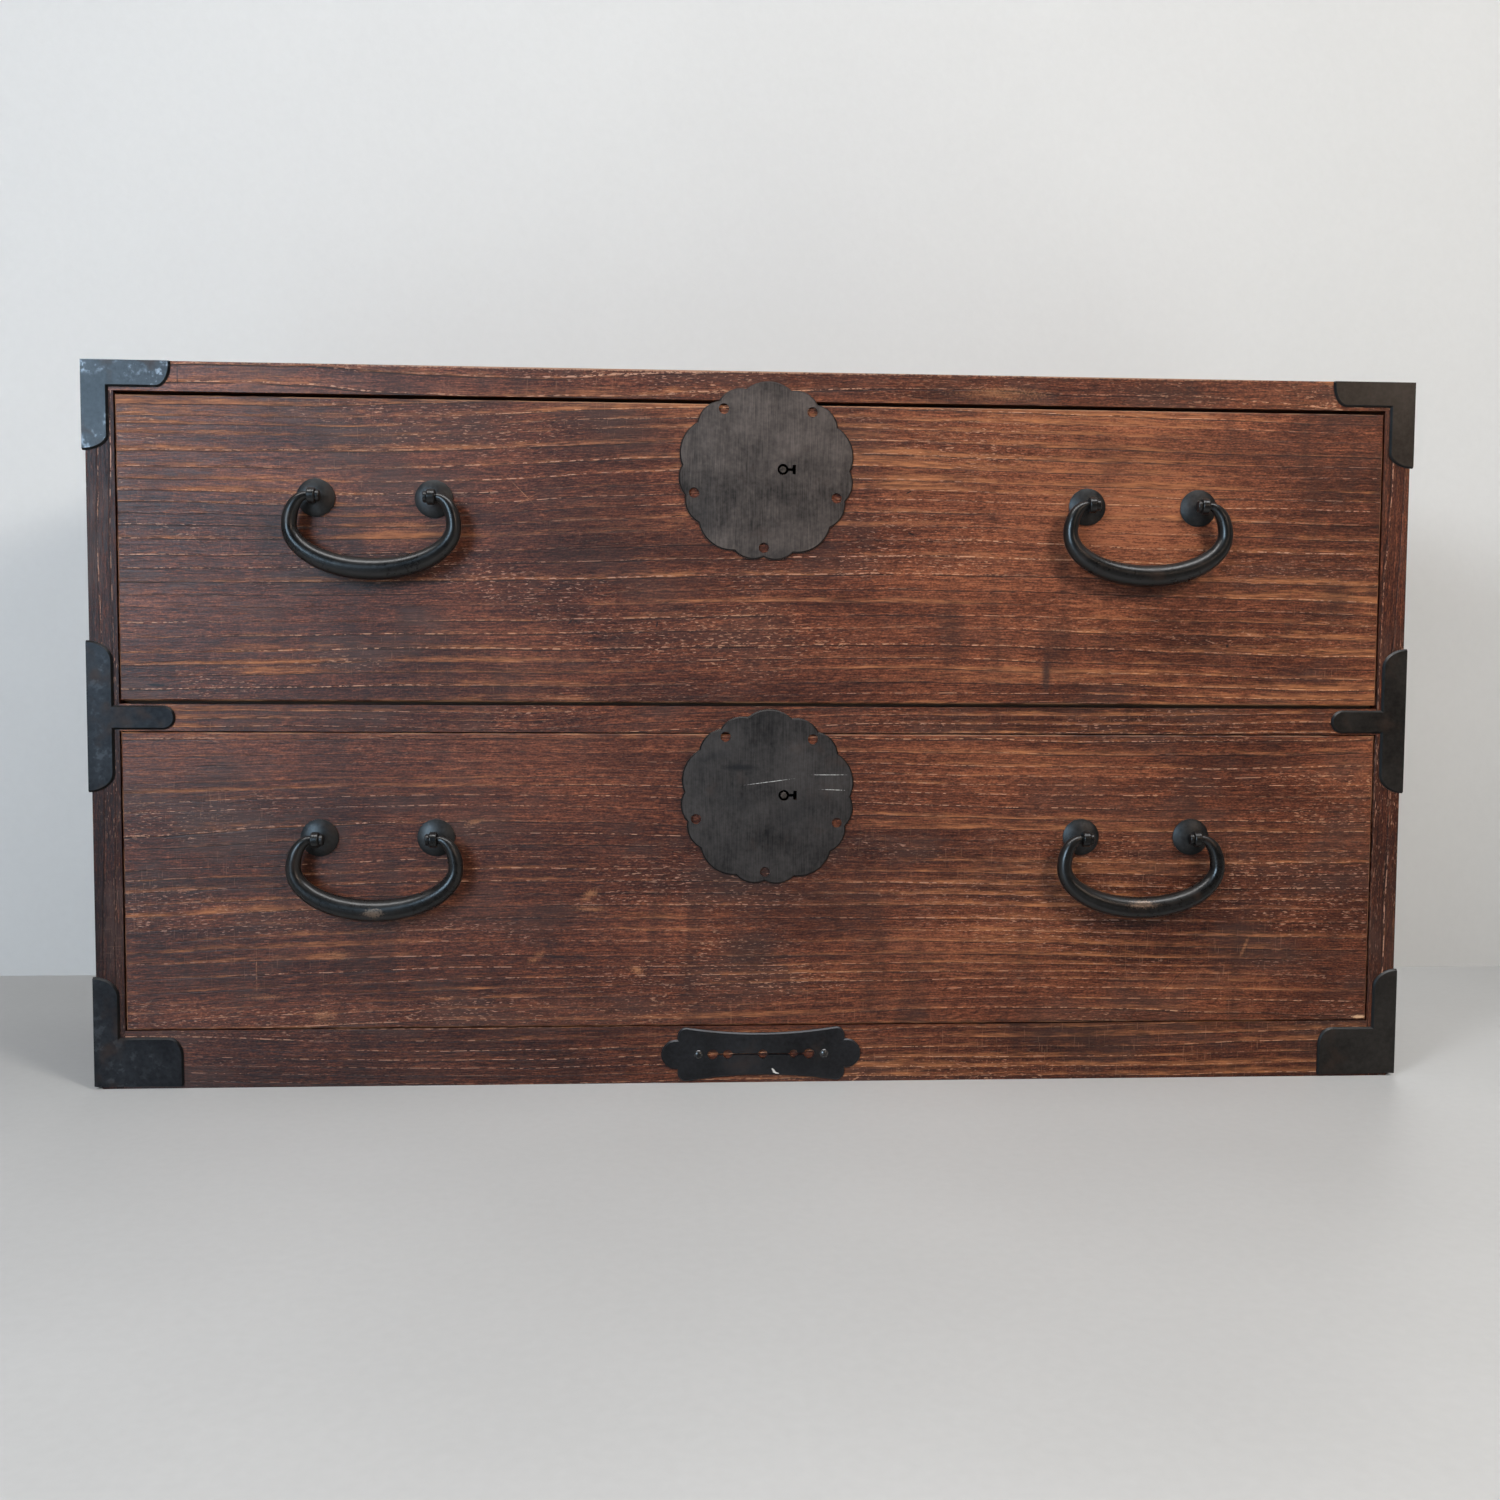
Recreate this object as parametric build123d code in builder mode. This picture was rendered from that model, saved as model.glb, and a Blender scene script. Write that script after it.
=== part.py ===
from build123d import *

import os
from dataclasses import dataclass
from math import cos, radians, sin

os.makedirs("parts", exist_ok=True)

# A low two-drawer tansu chest in millimetres. +Z is up and the drawers open towards -Y.
# The origin lies on the floor, under the middle of the whole chest with its handles.

# Case
case_width = 896
case_depth = 360
side_thickness = 18.5
top_thickness = 19.5
bottom_rail_height = 39.5
middle_rail_height = 18
rail_depth = 26
lower_opening_height = 202.5
upper_opening_height = 206
bottom_board_thickness = 14
dust_board_thickness = 9
housing_depth = 6
tenon_length = 9
tenon_setback = 5
finger_count = 5
worn_corner = 3.5

# Back boards and the wooden pegs that hold them
back_board_thickness = 9
back_rabbet_width = 9
back_board_shares = (0.36, 0.33, 0.31)
back_peg_shares = (0.22, 0.78)
shelf_peg_shares = (-0.62, -0.2, 0.2, 0.62)
peg_radius = 2.2
peg_bite = 14
peg_clearance = 0.05

# Irons at the corners and at the ends of the middle rail
iron_thickness = 1.8
iron_flange_thickness = 0.8
iron_bevel = 1.2
iron_bevel_limit_share = 0.7
iron_foot_gap = 2
top_arm_length = 57.5
top_arm_width = 17.2
top_upright_length = 58.8
top_tip_length = 9.5
top_tip_share = 0.87
top_upright_tip_length = 10.5
left_bottom_arm_length = 58.7
right_bottom_arm_length = 55.8
bottom_arm_width = 33
bottom_upright_length = 74.5
bottom_tip_length = 10
bottom_tip_share = 0.38
upright_width = 17
upright_tip_length = 13.5
tee_length = 101
tee_rise = 42
left_tee_arm_length = 57
right_tee_arm_length = 52.6
tee_arm_width = 16
iron_nail_inset = 10

# Domed nails
nail_head_radius = 3.1
nail_head_height = 1.7
nail_rim_height = 0.3
nail_shank_radius = 1.2
nail_length = 13

# Pierced base plate on the bottom rail
base_plate_thickness = 2
base_plate_width = 138
base_plate_lobe_reach = 11.2
base_plate_height = 37.4
base_plate_waist = 29.2
base_plate_corner = 6
base_plate_lobe_radius = 10.2
base_plate_bevel = 0.9
base_plate_z = 20.1
base_plate_nail_share = 0.752
base_plate_slit_height = 1.3
base_hole_radius = 3.4
base_hole_shares = (-0.58, -0.4, 0.018, 0.386, 0.572)
base_hole_radius_shares = (1.06, 0.96, 0.94, 0.84, 1.06)

# Drawers
drawer_side_gap = 1
drawer_back_gap = 0.8
drawer_proud = 0.3
run_clearance = 0.3
upper_foot_gap = 2.4
upper_head_gap = 2.6
lower_foot_gap = 0.7
lower_head_gap = 0.8
front_thickness = 20
front_lap = 12
front_edge_wear = 0.9
drawer_side_thickness = 12
drawer_back_thickness = 12
drawer_bottom_thickness = 8
drawer_side_drop = 8
drawer_back_drop = 10
drawer_peg_bite = 16
drawer_peg_shares = (0.16, 0.5, 0.84)

# Locks
upper_lock_drop = 45.2
lower_lock_drop = 43.7
upper_lock_shift = 0.8
lower_lock_shift = 3
lock_plate_thickness = 2
lock_plate_bevel = 0.9
lock_sectors = 5
lock_turn_share = -0.021
lock_plate_radius = 60.6
lock_notch_depth = 3.6
lock_small_lobe_drop = 1.2
lock_small_lobe_share = 0.285
lock_hole_inset = 9.8
lock_hole_radius = 3.5
lock_prong_offset = 30
lock_prong_width = 3
lock_prong_length = 11
key_offset_x = 11.2
key_offset_z = 1.9
key_hole_radius = 3.7
key_slot_length = 8.8
key_slot_height = 1.9
key_flare_width = 2.3
key_flare_height = 6.2
key_pin_radius = 2.2
key_pin_recess = 0.4
key_way_radius = 10
key_pocket_radius = 14
bolt_width = 30
bolt_thickness = 6
bolt_lift_gap = 2.5
bolt_setback = 0.6
bolt_travel = 9
lock_clearance = 0.4
cover_thickness = 1.6
cover_width = 50
cover_margin = 5
cover_headroom = 9
cover_nail_radius = 1
cover_nail_head_radius = 2.2
cover_nail_head_height = 0.9
cover_nail_length = 9
cover_nail_inset = 4.5

# Handles
upper_handle_drop = 65.9
lower_handle_drop = 70.8
handle_offset_share = 0.607
eye_spacing = 77.6
eye_radius = 5.2
eye_width = 5.2
eye_edge = 0.9
eye_shank_radius = 2.3
clinch_length = 11
clinch_thickness = 1.6
pivot_reach = 13.2
swing_clearance = 0.35
shoulder_overhang = 14.7
handle_drop = 47.5
shoulder_drop = 19
handle_end_radius = 2.4
handle_end_gap = 0.4
shoulder_radius = 5
bar_radius = 7.4
middle_swell_share = 0.34
shoulder_steps = 5
bar_steps = 8
button_radius = 3.8
button_length = 2.4
button_edge = 0.9
rosette_radius = 12.6
rosette_rim = 0.8
rosette_height = 3.6

# Levels and faces that follow from the sizes above
half_width = case_width / 2
inner_half = half_width - side_thickness
lower_shelf_z = bottom_rail_height
middle_rail_z = lower_shelf_z + lower_opening_height
upper_shelf_z = middle_rail_z + middle_rail_height
ceiling_z = upper_shelf_z + upper_opening_height
case_height = ceiling_z + top_thickness
handle_reach = drawer_proud + pivot_reach + max(bar_radius, eye_radius)
front_y = (handle_reach - case_depth) / 2
back_y = front_y + case_depth
rail_back_y = front_y + rail_depth
boards_back_y = back_y - back_board_thickness
back_foot_z = lower_shelf_z - bottom_board_thickness
drawer_half = inner_half - drawer_side_gap
face_y = front_y - drawer_proud
inside_y = face_y + front_thickness
lap_y = inside_y - front_lap
drawer_back_y = boards_back_y - drawer_back_gap
pivot_y = face_y - pivot_reach
eye_half = eye_spacing / 2
handle_half_width = eye_half + shoulder_overhang
handle_x = handle_offset_share * drawer_half
groove_depth = bolt_thickness + 2 * lock_clearance
bolt_back_y = inside_y - lock_clearance
bolt_front_y = bolt_back_y - bolt_thickness

# The two hands of a pair
SIDES = ((-1, "left"), (1, "right"))

# Directions, the sideways ones for the right-hand side
OUT = (1, 0, 0)
IN = (-1, 0, 0)
BACK = (0, 1, 0)
FRONT = (0, -1, 0)
UP = (0, 0, 1)
DOWN = (0, 0, -1)


@dataclass
class Drawer:
    """One drawer's place in the case, and the levels that follow from it."""

    level: str
    shelf_z: float
    opening_height: float
    foot_gap: float
    head_gap: float
    lock_x: float
    lock_drop: float
    eye_drop: float

    def __post_init__(self):
        self.foot_z = self.shelf_z + self.foot_gap
        self.head_z = self.shelf_z + self.opening_height - self.head_gap
        self.run_z = self.shelf_z + run_clearance
        self.floor_z = self.run_z + drawer_bottom_thickness
        self.side_top_z = self.head_z - drawer_side_drop
        self.back_top_z = self.side_top_z - drawer_back_drop
        self.lock_z = self.head_z - self.lock_drop
        self.key_x = self.lock_x + key_offset_x
        self.key_z = self.lock_z + key_offset_z
        self.bolt_foot_z = self.key_z + key_pin_radius + bolt_lift_gap
        self.cover_foot_z = self.key_z - key_pocket_radius - cover_margin
        self.cover_top_z = self.head_z - cover_headroom
        self.pivot_z = self.head_z - self.eye_drop


upper_drawer = Drawer(
    "upper", upper_shelf_z, upper_opening_height, upper_foot_gap, upper_head_gap,
    upper_lock_shift, upper_lock_drop, upper_handle_drop,
)
lower_drawer = Drawer(
    "lower", lower_shelf_z, lower_opening_height, lower_foot_gap, lower_head_gap,
    lower_lock_shift, lower_lock_drop, lower_handle_drop,
)


def save(piece, node):
    """Label a finished piece and write it under its node's name."""
    piece.part.label = node
    export_step(piece.part, f"parts/{node}.step")


def slab(x_span, y_span, z_span, mode=Mode.ADD):
    """Add or cut a box between two faces on each axis."""
    spans = (x_span, y_span, z_span)
    middle = [(low + high) / 2 for low, high in spans]
    size = [abs(high - low) for low, high in spans]
    with Locations(tuple(middle)):
        Box(*size, mode=mode)


def aimed(place, direction):
    """The location at a place whose +Z runs along a direction."""
    return Plane(origin=place, z_dir=direction).location


def rod(foot, direction, radius, length, mode=Mode.ADD):
    """Add or cut a cylinder that starts at foot and runs along a direction."""
    with Locations(aimed(foot, direction)):
        Cylinder(radius, length, align=(Align.CENTER, Align.CENTER, Align.MIN), mode=mode)


def spread(low, high, shares):
    """Points at the given shares of the way from low to high."""
    return [low + share * (high - low) for share in shares]


def finger_spans():
    """Depths of the side panels' fingers, which pass up through the top board."""
    pitch = case_depth / (2 * finger_count + 1)
    starts = [front_y + (2 * index + 1) * pitch for index in range(finger_count)]
    return [(start, start + pitch) for start in starts]


def back_board_spans():
    """Heights of the back boards, from the lowest to the top one."""
    spans = []
    foot = back_foot_z
    for share in back_board_shares:
        head = foot + share * (ceiling_z - back_foot_z)
        spans.append((foot, head))
        foot = head
    return spans


def back_peg_places():
    """Feet of the pegs that go through the back boards into the side panels and shelves."""
    peg_y = boards_back_y - peg_bite
    edge_x = inner_half + back_rabbet_width / 2
    places = []
    for foot, head in back_board_spans():
        for z in spread(foot, head, back_peg_shares):
            places += [(-edge_x, peg_y, z), (edge_x, peg_y, z)]
    for z in (lower_shelf_z - bottom_board_thickness / 2, upper_shelf_z - dust_board_thickness / 2):
        places += [(share * inner_half, peg_y, z) for share in shelf_peg_shares]
    return places


def cut_back_pegs():
    """Bore the piece being built for every back peg that reaches it."""
    for place in back_peg_places():
        rod(place, BACK, peg_radius + peg_clearance, peg_bite + back_board_thickness, Mode.SUBTRACT)


# Domed nail, its head's underside at the origin and its point down -Z
with BuildPart() as domed_nail:
    with BuildSketch(Plane.XZ):
        with BuildLine():
            Polyline((0, 0), (nail_head_radius, 0), (nail_head_radius, nail_rim_height))
            TangentArc((0, nail_head_height), (nail_head_radius, nail_rim_height), tangent=(1, 0))
            Line((0, nail_head_height), (0, 0))
        make_face()
    revolve(axis=Axis.Z)
    rod((0, 0, 0), DOWN, nail_shank_radius, nail_length)


def nail_hole(head, outward):
    """Bore for a domed nail whose head's underside is at the given place."""
    with Locations(aimed(head, outward)):
        Cylinder(
            nail_shank_radius + peg_clearance, nail_length,
            align=(Align.CENTER, Align.CENTER, Align.MAX), mode=Mode.SUBTRACT,
        )


def iron_nail_places():
    """Head places of the nails in the irons' side returns, on the right-hand side."""
    face_x = half_width + iron_thickness
    top_z = case_height - top_arm_width / 2
    bottom_z = iron_foot_gap + bottom_arm_width / 2
    tee_z = middle_rail_z + middle_rail_height / 2
    upright_y = front_y + upright_width / 2
    return [
        (face_x, front_y + top_arm_length - iron_nail_inset, top_z),
        (face_x, upright_y, case_height - top_upright_length + top_upright_tip_length + iron_nail_inset),
        (face_x, front_y + right_tee_arm_length - iron_nail_inset, tee_z),
        (face_x, upright_y, tee_z + tee_arm_width + iron_nail_inset),
        (face_x, upright_y, tee_z - tee_arm_width - iron_nail_inset),
        (face_x, front_y + right_bottom_arm_length - iron_nail_inset, bottom_z),
        (face_x, upright_y, iron_foot_gap + bottom_arm_width + iron_nail_inset),
    ]


def plane_along(origin, x_dir, y_dir):
    """The plane through origin with the given x and y directions."""
    return Plane(origin=origin, x_dir=x_dir, z_dir=Vector(x_dir).cross(Vector(y_dir)))


def corner_outline(plane, arm, arm_width, tip_length, tip_share, upright, upright_tip):
    """An L with its outer corner at the plane's origin and rounded inner ends.

    The arm runs along the plane's x and the upright along its y. The arm's end is rounded over
    a share of its width, and the upright's over its whole width.
    """
    tip_height = tip_share * arm_width
    tip_foot = arm_width - tip_height
    with BuildSketch(plane) as outline:
        with BuildLine():
            Polyline((0, 0), (arm, 0), (arm, tip_foot))
            EllipticalCenterArc(
                (arm - tip_length, tip_foot), tip_length, tip_height, start_angle=0, arc_size=90,
            )
            Polyline(
                (arm - tip_length, arm_width), (upright_width, arm_width),
                (upright_width, upright - upright_tip),
            )
            EllipticalCenterArc(
                (0, upright - upright_tip), upright_width, upright_tip, start_angle=0, arc_size=90,
            )
            Line((0, upright), (0, 0))
        make_face()
    return outline.sketch


def flange_outline():
    """The L of a right-hand top iron's flange, at the floor of its recess in the case's top."""
    corner = (half_width + iron_thickness, front_y - iron_thickness, case_height - iron_flange_thickness)
    return corner_outline(
        plane_along(corner, IN, BACK), top_arm_length, upright_width, top_tip_length, top_tip_share,
        top_arm_length, top_upright_tip_length,
    )


# Recess for the flange of the right-hand top iron, which lies flush with the case's top
with BuildPart() as flange_recess:
    extrude(flange_outline(), amount=iron_flange_thickness, dir=UP)

# Right side panel, with fingers along its top, housings for the boards and mortises for the rails
with BuildPart() as right_side_panel:
    slab((inner_half, half_width), (front_y, back_y), (0, ceiling_z))
    for finger in finger_spans():
        slab((inner_half, half_width), finger, (ceiling_z, case_height))
    lower_housing = (lower_shelf_z - bottom_board_thickness, lower_shelf_z)
    upper_housing = (upper_shelf_z - dust_board_thickness, upper_shelf_z)
    for housing in (lower_housing, upper_housing):
        slab(
            (inner_half, inner_half + housing_depth), (rail_back_y, boards_back_y), housing, Mode.SUBTRACT,
        )
    for rail_foot, rail_head in ((0, lower_shelf_z), (middle_rail_z, upper_shelf_z)):
        slab(
            (inner_half, inner_half + tenon_length),
            (front_y + tenon_setback, rail_back_y - tenon_setback),
            (rail_foot + tenon_setback, rail_head - tenon_setback), Mode.SUBTRACT,
        )
    slab(
        (inner_half, inner_half + back_rabbet_width), (boards_back_y, back_y),
        (back_foot_z, ceiling_z), Mode.SUBTRACT,
    )
    add(flange_recess.part, mode=Mode.SUBTRACT)
    cut_back_pegs()
    for place in iron_nail_places():
        nail_hole(place, OUT)
    foot_edges = edges().filter_by_position(Axis.Z, 0, 0).filter_by_position(Axis.X, half_width, half_width)
    chamfer(foot_edges, worn_corner)
save(right_side_panel, "right_side_panel")

with BuildPart() as left_side_panel:
    mirror(right_side_panel.part, about=Plane.YZ)
save(left_side_panel, "left_side_panel")


def lock_mortise(drawer, underside_z):
    """Cut the pocket that a drawer's bolt rises into."""
    reach = bolt_width / 2 + 2 * lock_clearance
    slab(
        (drawer.key_x - reach, drawer.key_x + reach),
        (bolt_front_y - lock_clearance, bolt_back_y + lock_clearance),
        (underside_z, underside_z + bolt_travel), Mode.SUBTRACT,
    )


# Top board, notched for the side panels' fingers
with BuildPart() as top_board:
    slab((-half_width, half_width), (front_y, back_y), (ceiling_z, case_height))
    for finger in finger_spans():
        slab((-half_width, -inner_half), finger, (ceiling_z, case_height), Mode.SUBTRACT)
        slab((inner_half, half_width), finger, (ceiling_z, case_height), Mode.SUBTRACT)
    add(flange_recess.part, mode=Mode.SUBTRACT)
    mirror(flange_recess.part, about=Plane.YZ, mode=Mode.SUBTRACT)
    lock_mortise(upper_drawer, ceiling_z)
save(top_board, "top_board")


def rail_body(foot_z, head_z):
    """A rail across the front with a stub tenon at each end."""
    slab((-inner_half, inner_half), (front_y, rail_back_y), (foot_z, head_z))
    slab(
        (-inner_half - tenon_length, inner_half + tenon_length),
        (front_y + tenon_setback, rail_back_y - tenon_setback),
        (foot_z + tenon_setback, head_z - tenon_setback),
    )


base_plate_half = base_plate_width / 2 - base_plate_lobe_reach
base_plate_face_y = front_y - base_plate_thickness
base_plate_nails_x = (-base_plate_nail_share * base_plate_half, base_plate_nail_share * base_plate_half)

with BuildPart() as bottom_rail:
    rail_body(0, lower_shelf_z)
    for nail_x in base_plate_nails_x:
        nail_hole((nail_x, base_plate_face_y, base_plate_z), FRONT)
save(bottom_rail, "bottom_rail")

with BuildPart() as middle_rail:
    rail_body(middle_rail_z, upper_shelf_z)
    lock_mortise(lower_drawer, middle_rail_z)
save(middle_rail, "middle_rail")

# Boards that the drawers run on, level with the tops of the rails
with BuildPart() as bottom_board:
    slab(
        (-inner_half - housing_depth, inner_half + housing_depth), (rail_back_y, boards_back_y),
        (lower_shelf_z - bottom_board_thickness, lower_shelf_z),
    )
    cut_back_pegs()
save(bottom_board, "bottom_board")

with BuildPart() as dust_board:
    slab(
        (-inner_half - housing_depth, inner_half + housing_depth), (rail_back_y, boards_back_y),
        (upper_shelf_z - dust_board_thickness, upper_shelf_z),
    )
    cut_back_pegs()
save(dust_board, "dust_board")

# Back boards, let into the side panels' rabbets and pegged
for span, place_name in zip(back_board_spans(), ("lower", "middle", "upper")):
    back_half = inner_half + back_rabbet_width
    with BuildPart() as back_board:
        slab((-back_half, back_half), (boards_back_y, back_y), span)
        cut_back_pegs()
    save(back_board, f"{place_name}_back_board")

with BuildPart() as back_pegs:
    for place in back_peg_places():
        rod(place, BACK, peg_radius, peg_bite + back_board_thickness)
save(back_pegs, "back_pegs")


def bevelled_plate(outline, thickness, outward, corner, fold_normals):
    """A sheet-iron plate with its outer edges bevelled, except along the folds through corner."""
    with BuildPart() as plate:
        extrude(outline, amount=thickness, dir=outward)
        outer_face = plate.faces().sort_by(Axis((0, 0, 0), outward))[-1]
        free_edges = [
            edge for edge in outer_face.edges()
            if all(abs((edge.center() - Vector(corner)).dot(Vector(fold))) > peg_clearance
                   for fold in fold_normals)
        ]
        chamfer(free_edges, min(iron_bevel, iron_bevel_limit_share * thickness))
    return plate.part


def tee_outline(plane, arm):
    """A tee with its straight side on the plane's y axis, rounded ends, and its arm along x."""
    arm_foot = tee_rise
    arm_head = tee_rise + tee_arm_width
    arm_end = arm - tee_arm_width / 2
    tip_foot = tee_length - upright_tip_length
    with BuildSketch(plane) as outline:
        with BuildLine():
            EllipticalCenterArc(
                (0, upright_tip_length), upright_width, upright_tip_length, start_angle=270, arc_size=90,
            )
            Polyline((upright_width, upright_tip_length), (upright_width, arm_foot), (arm_end, arm_foot))
            ThreePointArc((arm_end, arm_foot), (arm, (arm_foot + arm_head) / 2), (arm_end, arm_head))
            Polyline((arm_end, arm_head), (upright_width, arm_head), (upright_width, tip_foot))
            EllipticalCenterArc((0, tip_foot), upright_width, upright_tip_length, start_angle=0, arc_size=90)
            Line((0, tee_length), (0, 0))
        make_face()
    return outline.sketch


def folded_iron(outline_of, foot_z, upright_dir, arm):
    """Front plate and side return of a right-hand iron, folded round the case's front corner."""
    front_corner = (half_width + iron_thickness, front_y, foot_z)
    side_corner = (half_width, front_y, foot_z)
    front_plane = plane_along(front_corner, IN, upright_dir)
    side_plane = plane_along(side_corner, BACK, upright_dir)
    return [
        bevelled_plate(outline_of(front_plane, arm), iron_thickness, FRONT, front_corner, (IN, upright_dir)),
        bevelled_plate(outline_of(side_plane, arm), iron_thickness, OUT, side_corner, (BACK, upright_dir)),
    ]


def top_outline(plane, arm):
    """The L of a top corner iron."""
    return corner_outline(
        plane, arm, top_arm_width, top_tip_length, top_tip_share,
        top_upright_length, top_upright_tip_length,
    )


def bottom_outline(plane, arm):
    """The taller L of a bottom corner iron."""
    return corner_outline(
        plane, arm, bottom_arm_width, bottom_tip_length, bottom_tip_share,
        bottom_upright_length, upright_tip_length,
    )


def iron_plates(kind, hand):
    """All plates of one right-hand iron, with the arm length of the side it is for."""
    if kind == "top":
        corner = (half_width + iron_thickness, front_y - iron_thickness, case_height)
        flange = bevelled_plate(flange_outline(), iron_flange_thickness, UP, corner, (IN, BACK))
        return folded_iron(top_outline, case_height, DOWN, top_arm_length) + [flange]
    if kind == "bottom":
        arm = right_bottom_arm_length if hand > 0 else left_bottom_arm_length
        return folded_iron(bottom_outline, iron_foot_gap, UP, arm)
    arm = right_tee_arm_length if hand > 0 else left_tee_arm_length
    tee_foot_z = middle_rail_z + (middle_rail_height - tee_arm_width) / 2 - tee_rise
    return folded_iron(tee_outline, tee_foot_z, UP, arm)


IRON_NODES = {"top": "top_{}_corner_iron", "bottom": "bottom_{}_corner_iron", "tee": "{}_tee_iron"}

for kind, node in IRON_NODES.items():
    for hand, side in SIDES:
        plates = iron_plates(kind, hand)
        with BuildPart() as right_hand_iron:
            for plate in plates:
                add(plate)
            for place in iron_nail_places():
                nail_hole(place, OUT)
        with BuildPart() as iron:
            if hand > 0:
                add(right_hand_iron.part)
            else:
                mirror(right_hand_iron.part, about=Plane.YZ)
        save(iron, node.format(side))

with BuildPart() as iron_nails:
    for x, y, z in iron_nail_places():
        with Locations(aimed((x, y, z), OUT), aimed((-x, y, z), IN)):
            add(domed_nail.part)
save(iron_nails, "iron_nails")

# Round lobe at each end of the base plate, its centre on the rail's face at the origin
with BuildPart() as base_lobe:
    rod((0, 0, 0), FRONT, base_plate_lobe_radius, base_plate_thickness)
    chamfer(base_lobe.faces().sort_by(Axis.Y)[0].edges(), base_plate_bevel)

# Base plate: a waisted body between the two lobes, with five holes joined by a slit
with BuildPart() as base_plate:
    lobe_x = base_plate_width / 2 - base_plate_lobe_radius
    waist_half = base_plate_half - base_plate_corner
    waist_dip = (base_plate_height - base_plate_waist) / 2
    waist_radius = (waist_half ** 2 + waist_dip ** 2) / (2 * waist_dip)
    slab(
        (-base_plate_half, base_plate_half), (base_plate_face_y, front_y),
        (base_plate_z - base_plate_height / 2, base_plate_z + base_plate_height / 2),
    )
    fillet(base_plate.edges().filter_by(Axis.Y), base_plate_corner)
    chamfer(base_plate.faces().sort_by(Axis.Y)[0].edges(), base_plate_bevel)
    for hand, _ in SIDES:
        waist_z = base_plate_z + hand * (base_plate_waist / 2 + waist_radius)
        rod((0, front_y, waist_z), FRONT, waist_radius, base_plate_thickness, Mode.SUBTRACT)
        with Locations(aimed((0, base_plate_face_y + base_plate_bevel, waist_z), FRONT)):
            Cone(
                waist_radius, waist_radius + base_plate_bevel, base_plate_bevel,
                align=(Align.CENTER, Align.CENTER, Align.MIN), mode=Mode.SUBTRACT,
            )
    with Locations((-lobe_x, front_y, base_plate_z), (lobe_x, front_y, base_plate_z)):
        add(base_lobe.part)
    holes_x = [share * base_plate_half for share in base_hole_shares]
    for hole_x, radius_share in zip(holes_x, base_hole_radius_shares):
        rod((hole_x, front_y, base_plate_z), FRONT, base_hole_radius * radius_share,
            base_plate_thickness, Mode.SUBTRACT)
    slab(
        (holes_x[0], holes_x[-1]), (base_plate_face_y, front_y),
        (base_plate_z - base_plate_slit_height / 2, base_plate_z + base_plate_slit_height / 2),
        Mode.SUBTRACT,
    )
    for nail_x in base_plate_nails_x:
        nail_hole((nail_x, base_plate_face_y, base_plate_z), FRONT)
save(base_plate, "base_plate")

with BuildPart() as base_plate_nails:
    for nail_x in base_plate_nails_x:
        with Locations(aimed((nail_x, base_plate_face_y, base_plate_z), FRONT)):
            add(domed_nail.part)
save(base_plate_nails, "base_plate_nails")


def drawer_peg_places(drawer):
    """Feet and directions of the pegs through a drawer's sides into its front and back."""
    places = []
    peg_depths = ((lap_y + inside_y) / 2, drawer_back_y - drawer_back_thickness / 2)
    for peg_y, top_z in zip(peg_depths, (drawer.side_top_z, drawer.back_top_z)):
        for z in spread(drawer.floor_z, top_z, drawer_peg_shares):
            places.append(((-drawer_half, peg_y, z), OUT))
            places.append(((drawer_half, peg_y, z), IN))
    return places


def cut_drawer_pegs(drawer):
    """Bore the piece being built for every peg of the drawer that reaches it."""
    for foot, inward in drawer_peg_places(drawer):
        rod(foot, inward, peg_radius + peg_clearance, drawer_peg_bite + drawer_side_thickness, Mode.SUBTRACT)


def eye_places(drawer, hand):
    """Pivot points of the two eyes that carry one handle."""
    return [(hand * handle_x + step, pivot_y, drawer.pivot_z) for step in (-eye_half, eye_half)]


def cover_nail_places(drawer):
    """Places of the four nails in a lock's cover plate, on the cover's outer face."""
    reach = cover_width / 2 - cover_nail_inset
    nail_y = inside_y + cover_thickness
    return [
        (drawer.key_x + hand * reach, nail_y, z)
        for hand in (-1, 1)
        for z in (drawer.cover_foot_z + cover_nail_inset, drawer.cover_top_z - cover_nail_inset)
    ]


def cut_cover_nails(drawer):
    """Bore the piece being built for the cover plate's nails."""
    for place in cover_nail_places(drawer):
        rod(place, FRONT, cover_nail_radius + peg_clearance, cover_nail_length, Mode.SUBTRACT)


def lock_prong_spans(drawer, clearance):
    """The two prongs that hold a lock plate in its drawer front, grown by a clearance."""
    reach = lock_prong_width / 2 + clearance
    return [
        ((x - reach, x + reach), (face_y, face_y + lock_prong_length + clearance),
         (drawer.lock_z - reach, drawer.lock_z + reach))
        for x in (drawer.lock_x - lock_prong_offset, drawer.lock_x + lock_prong_offset)
    ]


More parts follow.
